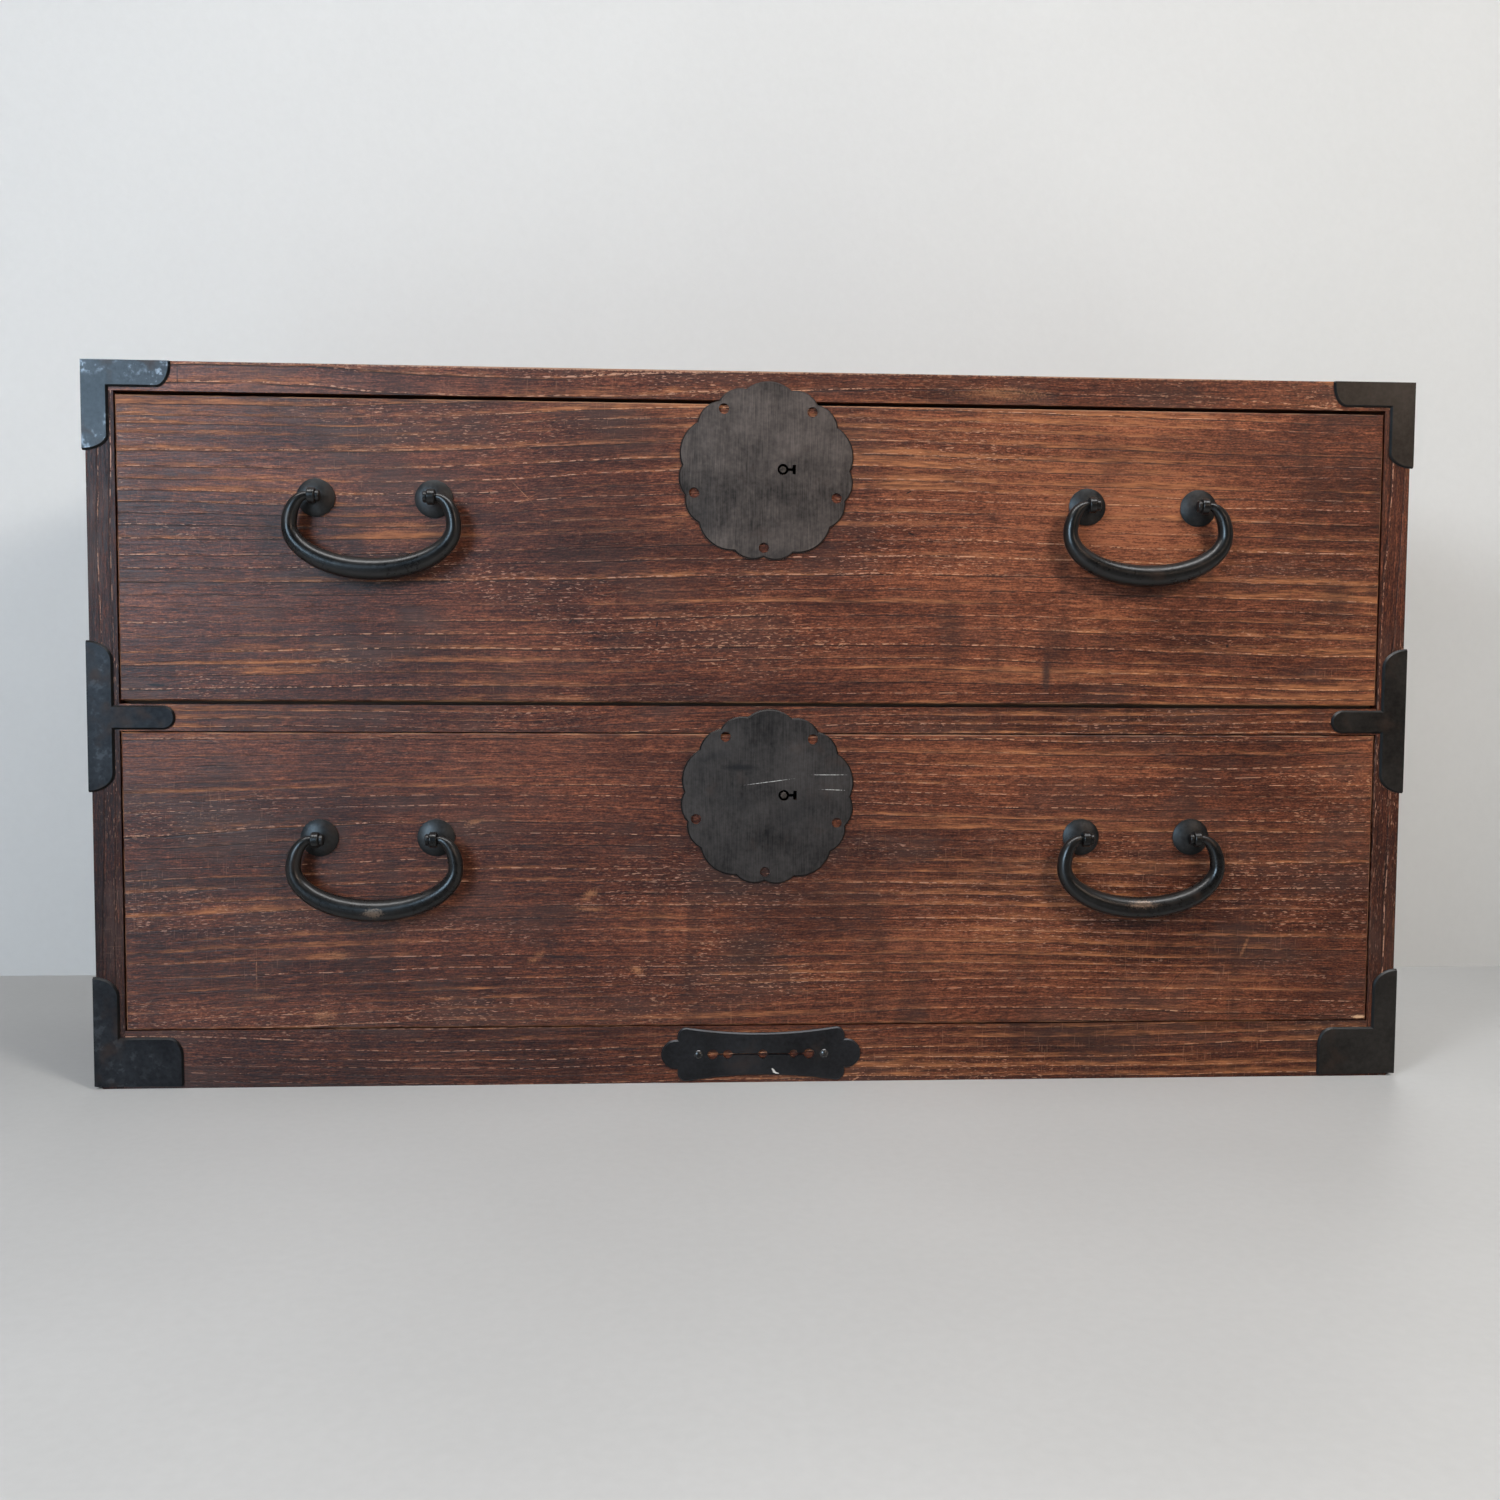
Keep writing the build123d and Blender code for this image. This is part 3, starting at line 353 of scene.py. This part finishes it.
    def mark(self, face_y, marks):
        """Single marks, the scuffs among them broken up along the grain."""
        for kind, place in marks:
            strength, colour = WOOD_MARKS[kind]
            mask = self.spot(face_y, **place)
            if kind == "scuff":
                mask = self.product(mask, self.band(self.frayed, 0.38, 0.60, 0.15, 1.0))
            self.paint(colour, mask, strength=strength)

    def polish(self, shine):
        """Duller where it is worn, glossier where it is stained, with sunken pores and seams."""
        roughness = self.blend((self.worn, 0.16), (self.fibre, 0.20), (self.stained, -0.05))
        roughness = self.math("ADD", roughness, BASE_ROUGHNESS)
        self.set(Base_Color=self.colour, Roughness=roughness, Specular_IOR_Level=shine)
        height = self.blend((self.fibre, 0.30), (self.lines, 0.25), (self.pore, -0.50), (self.seam, -0.55),
                            (self.worn, -0.30))
        self.bump(height, strength=0.45, distance=0.6 * MM)


# Half heights of the dark core and of the whole painted shade round a joint between boards
JOINT_CORE, JOINT_REACH = 0.8 * MM, 5.0 * MM


def bare_wood(name, grain, pale, dark, seed, joints=()):
    """Softwood gone brown with age: growth lines, fine fibres, grime, and painted shade round the joints at
    given heights.
    """
    wood = Wood(name, grain, (seed * 2.3, seed * 4.1, seed * 3.1))
    lines = wood.drawn(1.6, 80.0, detail=3.0, roughness=0.65)
    fine = wood.drawn(2.4, 330.0, detail=3.0)
    fibre = wood.drawn(40.0, 1100.0, detail=3.0)
    bend = wood.drawn(1.4, 6.0)
    value = wood.blend((lines, 0.38), (fine, 0.26), (fibre, 0.20), (bend, 0.16))
    wood.colour = wood.ramp(value, ((0.36, dark), (0.62, pale)))
    late = wood.band(wood.blend((lines, 0.6), (fine, 0.4)), 0.52, 0.58)
    wood.paint(shade(dark, 0.55), late, strength=0.35)
    grime = wood.band(wood.drawn(4.0, 9.0, detail=4.0), 0.50, 0.80, 0.0, 0.55)
    wood.paint(shade(dark, 0.35), grime)
    height = wood.vector("DOT_PRODUCT", wood.place, UP)
    # Painted shade round each joint, darkest on the joint itself
    for joint in joints:
        shadow = wood.band(wood.away(height, joint), JOINT_CORE, JOINT_REACH, 0.9, 0.0)
        wood.paint(shade(dark, 0.15), shadow)
    roughness = wood.band(fibre, 0.2, 0.8, 0.62, 0.82)
    wood.set(Base_Color=wood.colour, Roughness=roughness, Specular_IOR_Level=0.25)
    wood.bump(wood.blend((lines, 0.6), (fine, 0.5), (fibre, 0.5)), strength=0.25, distance=0.6 * MM)
    return wood


RUST = (0.040, 0.022, 0.014)
# Pale flecks: partly worn patches, partly painted reflection
PALE_FLAKE_AND_SHEEN = (0.150, 0.160, 0.175)
ROUGHNESS_SPREAD = 0.26

# Strength and colour of each kind of single mark in the iron
IRON_MARKS = {
    "scratch": (0.75, (0.60, 0.58, 0.55)),
    "stain": (0.45, (0.016, 0.0155, 0.016)),
    "smudge": (0.80, (0.012, 0.012, 0.013)),
    "chip": (0.95, (0.62, 0.60, 0.57)),
    "rub": (0.65, (0.16, 0.115, 0.085)),
}


def black_iron(name, dark, light, edge, seed, rough=0.44, shine=0.22, metal=0.5, brush=None, flecks=0.0,
               face_y=0.0, marks=()):
    """Blackened iron: mottled, brown in places, its bevels another tone, near black where that is painted
    shade, with pale flecks on some pieces that are partly worn patches and partly painted reflection.
    """
    iron = Surface(name)
    shift = (seed, seed * 1.7, seed * 2.9)
    blotch = iron.mottle(24.0, shift, detail=5.0, roughness=0.62)
    grit = iron.mottle(360.0, shift, detail=3.0, roughness=0.6)
    value = iron.blend((blotch, 0.62), (grit, 0.38))
    if brush:
        strokes = iron.noise(iron.stretch(iron.place, brush, shift), roughness=0.6)
        value = iron.blend((blotch, 0.52), (grit, 0.20), (strokes, 0.28))
    iron.colour = iron.ramp(value, ((0.36, dark), (0.64, light)))
    rust = iron.band(iron.mottle(55.0, (2.0, seed, 1.0), detail=4.0), 0.55, 0.75)
    iron.paint(RUST, rust, strength=0.35)
    # Pale flecks, partly worn patches and partly painted reflection of the window
    flake = iron.mottle(150.0, shift, detail=4.0, roughness=0.65)
    iron.paint(PALE_FLAKE_AND_SHEEN, iron.band(flake, 0.52, 0.64), iron.band(blotch, 0.42, 0.58), strength=flecks)
    # Bevels take the edge colour; where it is near black it is painted shade of the dark outline round the
    # piece
    iron.paint(edge, iron.bevels(), iron.band(blotch, 0.30, 0.58, 0.6, 1.0), strength=0.80)
    for kind, place in marks:
        strength, colour = IRON_MARKS[kind]
        iron.paint(colour, iron.spot(face_y, **place), strength=strength)
    roughness = iron.blend((value, ROUGHNESS_SPREAD), (rust, 0.12))
    roughness = iron.math("ADD", roughness, rough - ROUGHNESS_SPREAD / 2)
    iron.set(Base_Color=iron.colour, Roughness=roughness, Metallic=metal, Specular_IOR_Level=shine)
    iron.bump(iron.blend((blotch, 0.8), (grit, 0.25)), strength=0.25, distance=0.9 * MM)
    return iron


def dress(surface, *names):
    """Give CAD nodes a material."""
    for name in names:
        mesh = nodes[name].data
        mesh.materials.clear()
        mesh.materials.append(surface.material)


def ellipse(x, z, half_length, half_height, **edge):
    """Place and half sizes of a mark or zone on a front face, in millimetres, and what its edge is like."""
    return dict(x=x, z=z, half_length=half_length, half_height=half_height, **edge)


# Marks of the drawer fronts and the top board, each with its kind
UPPER_MARKS = (
    ("dent", ellipse(-131.1, 316.4, 2.6, 0.8, turn=42.0, ragged=0.1)),
    ("dent", ellipse(-72.6, 315.5, 2.6, 0.8, turn=80.0, ragged=0.1)),
    ("dent", ellipse(-107.6, 291.7, 4.5, 0.7, turn=-4.0, ragged=0.1)),
    ("dent", ellipse(-405.0, 272.6, 8.0, 1.1, turn=-3.0, ragged=0.1)),
    ("knot", ellipse(195.0, 283.0, 4.6, 19.0, soft=0.9)),
    ("shade", ellipse(128.0, 312.0, 15.0, 46.0, soft=1.0)),
    ("shade", ellipse(200.0, 300.0, 15.0, 34.0, soft=1.0)),
    ("shade", ellipse(-98.0, 303.0, 19.0, 11.0, soft=1.0)),
    ("shade", ellipse(398.0, 336.0, 24.0, 30.0, soft=1.0)),
    ("crack", ellipse(-57.4, 412.0, 0.4, 14.0, soft=0.9)),
    ("dent", ellipse(98.0, 406.0, 2.6, 0.7, turn=25.0, ragged=0.1)),
    ("dent", ellipse(100.0, 378.0, 3.0, 0.8, turn=-20.0, ragged=0.1)),
    ("dent", ellipse(321.8, 303.3, 1.2, 1.5, ragged=0.1)),
    ("scuff", ellipse(-164.0, 404.0, 19.0, 0.5, turn=-45.0, soft=0.9)),
    ("scuff", ellipse(-160.0, 398.0, 14.0, 0.4, turn=30.0, soft=0.9)),
)
LOWER_MARKS = (
    ("scuff", ellipse(339.5, 92.5, 10.5, 1.9, turn=68.0, soft=0.9)),
    ("chip", ellipse(423.5, 42.4, 6.0, 1.5)),
    ("dent", ellipse(290.0, 70.0, 21.0, 0.35, turn=45.0, soft=0.9)),
    ("shade", ellipse(-20.0, 142.0, 44.0, 20.0, soft=1.0)),
    ("shade", ellipse(-7.0, 90.0, 30.0, 22.0, soft=1.0)),
    ("shade", ellipse(-273.0, 84.0, 20.0, 30.0, soft=1.0)),
    ("scuff", ellipse(-196.0, 181.0, 9.0, 3.0, turn=20.0, soft=1.0, ragged=0.8)),
    ("scuff", ellipse(-118.0, 131.0, 11.0, 4.0, turn=35.0, soft=0.9, ragged=0.9)),
    ("scuff", ellipse(-117.0, 121.5, 17.0, 3.2, soft=1.0, ragged=0.9)),
    ("scuff", ellipse(-154.0, 88.5, 10.0, 3.8, turn=40.0, soft=1.0, ragged=0.9)),
    ("scuff", ellipse(-86.0, 79.0, 9.0, 4.2, turn=-35.0, soft=1.0, ragged=0.9)),
    ("scuff", ellipse(-298.0, 48.0, 12.0, 7.0, soft=1.0, ragged=0.9)),
    ("scuff", ellipse(-287.0, 90.5, 12.0, 4.5, soft=1.0, ragged=0.9)),
    ("scuff", ellipse(-339.0, 62.0, 18.0, 2.6, soft=1.0, ragged=0.9)),
    ("scuff", ellipse(-342.0, 80.0, 0.7, 20.0, soft=1.0)),
)
TOP_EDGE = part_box("top_board")[1][2] / MM
TOP_MARKS = (
    ("crack", ellipse(-388.0, TOP_EDGE - 9.0, 0.5, 9.0)),
    # Pale lines along the top edge: partly worn lacquer, partly painted highlight
    ("edge wear and highlight", ellipse(-90.0, TOP_EDGE - 0.3, 260.0, 1.1, ragged=0.9)),
    ("edge wear and highlight", ellipse(250.0, TOP_EDGE - 0.3, 130.0, 0.8, ragged=0.9)),
    ("scuff", ellipse(160.0, TOP_EDGE - 12.0, 40.0, 6.0, soft=1.0, ragged=0.8)),
    ("shade", ellipse(275.0, TOP_EDGE - 8.0, 45.0, 7.0, soft=1.0, ragged=0.8)),
)

# Paler or darker wood, and more or less bared wood, in places: both strengths and the zone
UPPER_ZONES = (
    (0.050, 0.2, ellipse(130.0, 350.0, 130.0, 110.0)),
    (0.066, 0.9, ellipse(250.0, 430.0, 160.0, 56.0)),
    (0.030, 0.4, ellipse(105.0, 415.0, 60.0, 50.0)),
    (0.034, 0.3, ellipse(300.0, 385.0, 190.0, 120.0)),
    (0.056, 0.4, ellipse(190.0, 462.0, 300.0, 26.0)),
    (-0.044, -0.7, ellipse(-350.0, 345.0, 190.0, 170.0)),
    (-0.030, -0.5, ellipse(-315.0, 438.0, 95.0, 30.0)),
    (-0.040, -0.7, ellipse(-248.0, 303.0, 90.0, 34.0)),
    (-0.040, -0.5, ellipse(-115.0, 450.0, 60.0, 20.0)),
    (0.030, 1.1, ellipse(-335.0, 404.0, 110.0, 14.0)),
    (0.030, 1.0, ellipse(-225.0, 372.0, 80.0, 14.0)),
    (0.050, 0.7, ellipse(236.0, 322.0, 60.0, 25.0)),
    (0.030, 1.1, ellipse(-330.0, 284.0, 80.0, 9.0)),
    (0.030, 1.0, ellipse(200.0, 284.0, 170.0, 10.0)),
    (-0.025, -0.4, ellipse(370.0, 290.0, 60.0, 20.0)),
    (0.056, 0.4, ellipse(258.0, 388.0, 115.0, 62.0)),
    (0.040, 0.7, ellipse(-261.0, 378.0, 66.0, 26.0)),
    (-0.036, -0.3, ellipse(-263.0, 427.0, 110.0, 26.0)),
)
LOWER_ZONES = (
    (0.040, 0.5, ellipse(150.0, 150.0, 170.0, 110.0)),
    (-0.028, -0.4, ellipse(-350.0, 165.0, 220.0, 60.0)),
    (-0.030, -0.4, ellipse(-300.0, 70.0, 140.0, 30.0)),
    (0.022, 0.4, ellipse(-270.0, 116.0, 260.0, 26.0)),
    (-0.026, -0.5, ellipse(0.0, 164.0, 470.0, 22.0)),
    (-0.034, -0.2, ellipse(355.0, 195.0, 90.0, 80.0)),
    (0.042, 0.6, ellipse(-70.0, 112.0, 85.0, 28.0)),
    (0.040, 0.8, ellipse(170.0, 104.0, 150.0, 34.0)),
    (0.050, 0.6, ellipse(190.0, 222.0, 130.0, 22.0)),
    (0.022, 0.2, ellipse(-275.0, 214.0, 150.0, 20.0)),
    (0.030, 1.0, ellipse(-330.0, 126.0, 85.0, 9.0)),
    (0.016, 0.7, ellipse(-263.0, 96.0, 110.0, 26.0)),
)
# The front edges of the sides are darker than their faces
LEFT_STILE = ((-0.064, -0.8, ellipse(-450.0, 250.0, 150.0, 900.0)),)
RIGHT_STILE = ((-0.028, 0.0, ellipse(450.0, 250.0, 150.0, 900.0)),)

# Lacquered wood: the way in which growth rings follow one another in each kind of board
UPPER_RINGS, LONG_RINGS = (0.0, 0.35, 0.94), (0.0, 0.30, 0.95)
TOP_RINGS, SIDE_RINGS = (0.0, 0.80, 0.60), (0.75, 0.66, 0.0)
FRONT_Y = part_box("upper_drawer_front")[0][1]
STILE_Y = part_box("left_side_panel")[0][1]
dress(LacqueredWood("wood_upper_front", "X", seed=1.0, ring_mm=8.0, ring_way=UPPER_RINGS, wear=0.15,
                    tone=0.006, face_y=FRONT_Y, zones=UPPER_ZONES, marks=UPPER_MARKS), "upper_drawer_front")
dress(LacqueredWood("wood_lower_front", "X", seed=2.0, ring_mm=7.5, ring_way=LONG_RINGS, tone=0.004,
                    face_y=FRONT_Y, zones=LOWER_ZONES, marks=LOWER_MARKS), "lower_drawer_front")
dress(LacqueredWood("wood_top", "X", seed=3.0, ring_mm=6.0, ring_way=TOP_RINGS, tone=0.012,
                    face_y=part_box("top_board")[0][1], marks=TOP_MARKS), "top_board")
dress(LacqueredWood("wood_middle_rail", "X", seed=4.0, ring_mm=5.0, ring_way=LONG_RINGS), "middle_rail")
dress(LacqueredWood("wood_bottom_rail", "X", seed=5.0, ring_mm=6.0, ring_way=LONG_RINGS, tone=-0.034),
      "bottom_rail")
dress(LacqueredWood("wood_left_side", "Z", seed=6.0, ring_mm=6.0, ring_way=SIDE_RINGS, tone=-0.030,
                    shine=0.11, face_y=STILE_Y, zones=LEFT_STILE), "left_side_panel")
dress(LacqueredWood("wood_right_side", "Z", seed=7.0, ring_mm=6.0, ring_way=SIDE_RINGS, tone=-0.030,
                    face_y=STILE_Y, zones=RIGHT_STILE), "right_side_panel")

# Bare wood: the back boards meet at the edges of the middle one
LEVELS, SIDES = ("upper", "lower"), ("left", "right")
PALE, DARK = (0.285, 0.165, 0.082), (0.120, 0.064, 0.030)
JOINTS = [corner[2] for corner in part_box("middle_back_board")]
dress(bare_wood("bare_long", "X", PALE, DARK, seed=1.0), "bottom_board", "dust_board",
      *[f"{level}_drawer_{piece}" for level in LEVELS for piece in ("back", "bottom")])
dress(bare_wood("bare_upper_back", "X", PALE, DARK, seed=4.0, joints=JOINTS), "upper_back_board")
dress(bare_wood("bare_middle_back", "X", (0.235, 0.136, 0.068), (0.090, 0.048, 0.023), seed=5.0,
                joints=JOINTS), "middle_back_board")
dress(bare_wood("bare_lower_back", "X", (0.310, 0.186, 0.096), (0.138, 0.076, 0.037), seed=6.0,
                joints=JOINTS), "lower_back_board")
dress(bare_wood("bare_deep", "Y", PALE, DARK, seed=2.0),
      *[f"{level}_drawer_{side}_side" for level in LEVELS for side in SIDES])
dress(bare_wood("bare_pegs", "Y", (0.16, 0.10, 0.055), (0.07, 0.04, 0.022), seed=3.0),
      "back_pegs", *[f"{level}_drawer_pegs" for level in LEVELS])

# Marks of the iron pieces
LOWER_HANDLE_MARKS = (
    ("rub", ellipse(260.0, 126.5, 13.0, 3.4, soft=0.8, ragged=0.9)),
    ("rub", ellipse(-260.0, 122.0, 8.0, 4.4, soft=0.8, ragged=0.9)),
)
BASE_MARKS = (
    ("chip", ellipse(8.5, 8.5, 2.6, 0.9, turn=-55.0)),
    ("chip", ellipse(10.0, 7.0, 2.6, 0.7, turn=-15.0)),
)
LOWER_LOCK_MARKS = (
    ("scratch", ellipse(4.0, 208.6, 21.0, 0.30, turn=7.5, soft=0.7, ragged=0.8)),
    ("scratch", ellipse(45.0, 213.5, 14.0, 0.26, soft=0.7, ragged=0.8)),
    ("scratch", ellipse(48.5, 203.2, 9.5, 0.26, turn=-2.0, soft=0.7, ragged=0.8)),
    ("smudge", ellipse(-16.0, 218.5, 17.0, 3.4, soft=0.9)),
    ("stain", ellipse(-34.0, 226.0, 22.0, 5.0, turn=14.0, soft=1.0)),
    ("stain", ellipse(24.0, 188.0, 30.0, 18.0, turn=30.0, soft=1.2)),
    ("stain", ellipse(-20.0, 196.0, 22.0, 9.0, turn=-30.0, soft=1.2)),
)
UPPER_LOCK_MARKS = (
    ("stain", ellipse(-40.0, 392.0, 16.0, 34.0, soft=1.2)),
    ("stain", ellipse(6.0, 362.0, 40.0, 10.0, soft=1.2)),
)

# Iron: corner irons, base plate and forged pieces, with near-black bevels that are painted shade, or greyer
# bevels
BLACK_EDGE_SHADE = (0.006, 0.006, 0.006)
HANDLES = [f"{level}_{side}_handle" for level in LEVELS for side in SIDES]
FORGED = (0.0045, 0.0045, 0.0045), (0.015, 0.015, 0.015), (0.030, 0.030, 0.030)
# The top left iron is a paler, bluer copy of the left irons with many pale flecks: painted reflection of the
# window, partly worn patches
dress(black_iron("iron_top_left_painted_sheen", (0.008, 0.009, 0.010), (0.026, 0.028, 0.031), BLACK_EDGE_SHADE, seed=1.0,
                 rough=0.34, shine=0.10, metal=0.32, flecks=0.9), "top_left_corner_iron")
dress(black_iron("iron_left", (0.006, 0.006, 0.007), (0.018, 0.019, 0.021), BLACK_EDGE_SHADE, seed=2.0,
                 rough=0.34, shine=0.06, metal=0.28, flecks=0.10), "bottom_left_corner_iron", "left_tee_iron")
dress(black_iron("iron_right", (0.007, 0.0065, 0.006), (0.023, 0.021, 0.019), BLACK_EDGE_SHADE, seed=3.0,
                 rough=0.34, shine=0.30),
      "top_right_corner_iron", "bottom_right_corner_iron", "right_tee_iron")
dress(black_iron("iron_base", (0.007, 0.007, 0.0075), (0.020, 0.020, 0.022), (0.030, 0.031, 0.034), seed=4.0,
                 rough=0.40, face_y=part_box("base_plate")[0][1], marks=BASE_MARKS), "base_plate")
dress(black_iron("iron_lower_handles", *FORGED, seed=5.5, rough=0.29,
                 face_y=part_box("lower_left_handle")[0][1], marks=LOWER_HANDLE_MARKS),
      "lower_left_handle", "lower_right_handle")
dress(black_iron("iron_forged", *FORGED, seed=5.0, rough=0.29), "upper_left_handle", "upper_right_handle",
      *[f"{handle}_eyes" for handle in HANDLES],
      *[f"{level}_lock_{piece}" for level in LEVELS for piece in ("cover", "bolt")])
dress(black_iron("iron_rosettes", (0.009, 0.0095, 0.010), (0.034, 0.034, 0.034), BLACK_EDGE_SHADE, seed=6.0,
                 rough=0.42), *[f"{handle}_rosettes" for handle in HANDLES])
dress(black_iron("iron_polished", (0.010, 0.010, 0.010), (0.040, 0.040, 0.040), (0.060, 0.060, 0.060),
                 seed=7.0, rough=0.24),
      "iron_nails", "base_plate_nails", *[f"{level}_lock_nails" for level in LEVELS])
dress(black_iron("iron_pins", (0.030, 0.026, 0.024), (0.130, 0.110, 0.098), (0.100, 0.090, 0.080), seed=7.5,
                 rough=0.26), *[f"{level}_key_pin" for level in LEVELS])

# Lock plates, brushed upright, with near-black bevels that are painted shade
BRUSH = (1300.0, 1300.0, 55.0)
PLATE_EDGE_SHADE = (0.008, 0.0075, 0.007)
dress(black_iron("iron_upper_lock", (0.020, 0.017, 0.0155), (0.116, 0.092, 0.080), PLATE_EDGE_SHADE, seed=8.0,
                 rough=0.40, shine=0.30, brush=BRUSH, face_y=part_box("upper_lock_plate")[0][1],
                 marks=UPPER_LOCK_MARKS), "upper_lock_plate")
dress(black_iron("iron_lower_lock", (0.010, 0.0092, 0.0090), (0.056, 0.049, 0.046), PLATE_EDGE_SHADE, seed=9.0,
                 rough=0.42, brush=BRUSH, face_y=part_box("lower_lock_plate")[0][1],
                 marks=LOWER_LOCK_MARKS), "lower_lock_plate")

PALE_TINT = (0.975, 1.0, 1.006)


def plain_pale(name, low, high, rough):
    """A pale painted surface with faint cloudiness."""
    surface = Surface(name)
    cloud = surface.mottle(2.5, detail=4.0)
    speck = surface.mottle(160.0)
    value = surface.blend((cloud, 0.75), (speck, 0.25))
    stops = (0.35, shade(PALE_TINT, low)), (0.65, shade(PALE_TINT, high))
    surface.set(Base_Color=surface.ramp(value, stops), Roughness=rough)
    surface.bump(speck, strength=0.08, distance=1.0 * MM)
    return surface


def make_one_sided(surface):
    """Let a surface be clear when it is seen from behind."""
    sides = surface.new("ShaderNodeMixShader")
    surface.feed(sides.inputs[0], surface.new("ShaderNodeNewGeometry").outputs["Backfacing"])
    surface.feed(sides.inputs[1], surface.shader.outputs["BSDF"])
    surface.feed(sides.inputs[2], surface.new("ShaderNodeBsdfTransparent").outputs["BSDF"])
    surface.feed(surface.output.inputs["Surface"], sides.outputs["Shader"])


def flat_sheet(name, corners, surface):
    """One flat sheet of the setting."""
    mesh = bpy.data.meshes.new(name)
    mesh.from_pydata([Vector(corner) for corner in corners], [], [(0, 1, 2, 3)])
    sheet = bpy.data.objects.new(name, mesh)
    bpy.context.scene.collection.objects.link(sheet)
    mesh.materials.append(surface.material)
    return sheet


# Pale floor, and a pale wall close behind that only the camera sees, from its front
REACH, WALL_HEIGHT, WALL_GAP = 6.0, 4.0, 7.0 * MM
WALL_Y = cad_box[1][1] + WALL_GAP
flat_sheet("floor", [(-REACH, -REACH, 0), (REACH, -REACH, 0), (REACH, REACH, 0), (-REACH, REACH, 0)],
           plain_pale("pale_floor", 0.475, 0.525, rough=0.5))
wall_surface = plain_pale("pale_wall", 0.585, 0.615, rough=0.8)
make_one_sided(wall_surface)
wall = flat_sheet("wall", [(-REACH, WALL_Y, 0), (REACH, WALL_Y, 0), (REACH, WALL_Y, WALL_HEIGHT),
                           (-REACH, WALL_Y, WALL_HEIGHT)], wall_surface)
wall.visible_shadow = False
wall.visible_diffuse = False
wall.visible_glossy = False


WHITE = (1.0, 1.0, 1.0)


def soft_light(name, place, target, size, power, colour=WHITE, lights=True, mirrored=False):
    """A rectangular light aimed at a point, which lights surfaces, is mirrored in them, or both."""
    light = bpy.data.lights.new(name, "AREA")
    light.shape = "RECTANGLE"
    light.size, light.size_y = size
    light.energy = power
    light.color = colour
    lamp = bpy.data.objects.new(name, light)
    lamp.location = place
    lamp.rotation_euler = (Vector(target) - Vector(place)).to_track_quat("-Z", "Y").to_euler()
    lamp.visible_diffuse = lights
    lamp.visible_glossy = mirrored
    bpy.context.scene.collection.objects.link(lamp)


# Two keys, light from above and behind, and a window, a lamp and a strip that only show as sheen
FRONT = (0.0, 0.0, 0.25)
soft_light("key_left", (-0.90, -1.40, 0.95), FRONT, size=(0.45, 0.45), power=18.5, colour=(0.94, 0.96, 1.0))
soft_light("key_right", (0.90, -1.40, 1.05), FRONT, size=(0.36, 0.36), power=20.5, colour=(1.0, 0.92, 0.84))
soft_light("overhead", (0.0, -0.9, 3.0), (0.0, -0.3, 0.0), size=(3.4, 2.4), power=36.0)
soft_light("behind", (0.6, 3.0, 2.2), FRONT, size=(3.4, 2.2), power=56.0, colour=(1.0, 0.98, 0.95),
           mirrored=True)
soft_light("window", (-2.00, -3.2, 1.10), FRONT, size=(1.1, 1.5), power=190.0, colour=(0.56, 0.79, 1.0),
           lights=False, mirrored=True)
soft_light("lamp", (2.0, -2.9, 1.5), FRONT, size=(0.8, 0.8), power=24.0, colour=(1.0, 0.74, 0.56),
           lights=False, mirrored=True)
soft_light("strip", (0.0, -0.75, 2.1), (0.0, -0.2, 0.3), size=(2.6, 0.5), power=70.0,
           lights=False, mirrored=True)

WORLD_COLOUR, WORLD_STRENGTH = (0.93, 0.95, 1.0, 1.0), 0.06
world = bpy.data.worlds.new("studio")
world.use_nodes = True
background = world.node_tree.nodes["Background"]
background.inputs["Color"].default_value = WORLD_COLOUR
background.inputs["Strength"].default_value = WORLD_STRENGTH
bpy.context.scene.world = world
bpy.context.scene.view_settings.view_transform = "Standard"

# Camera where the photograph was taken from, turned a little right and down. Angles are in radians, and the
# focal length is in pixels of the photograph
CAMERA_PLACE = (-0.06834, -1.16971, 0.28938)
YAW, PITCH, ROLL = 0.05922691, 0.05894019, 0.00601342
FOCAL_PIXELS, PHOTO_PIXELS, SENSOR_MM = 1469.555, 1500.0, 36.0
right = Vector((math.cos(YAW), -math.sin(YAW), 0.0))
up = Vector((math.sin(PITCH) * math.sin(YAW), math.sin(PITCH) * math.cos(YAW), math.cos(PITCH)))
camera_right = right * math.cos(ROLL) + up * math.sin(ROLL)
camera_up = up * math.cos(ROLL) - right * math.sin(ROLL)
camera_back = camera_right.cross(camera_up)
camera_data = bpy.data.cameras.new("camera")
camera_data.sensor_width = SENSOR_MM
camera_data.lens = SENSOR_MM * FOCAL_PIXELS / PHOTO_PIXELS
camera = bpy.data.objects.new("camera", camera_data)
placement = Matrix((camera_right, camera_up, camera_back)).transposed().to_4x4()
placement.translation = Vector(CAMERA_PLACE)
camera.matrix_world = placement
bpy.context.scene.collection.objects.link(camera)
bpy.context.scene.camera = camera
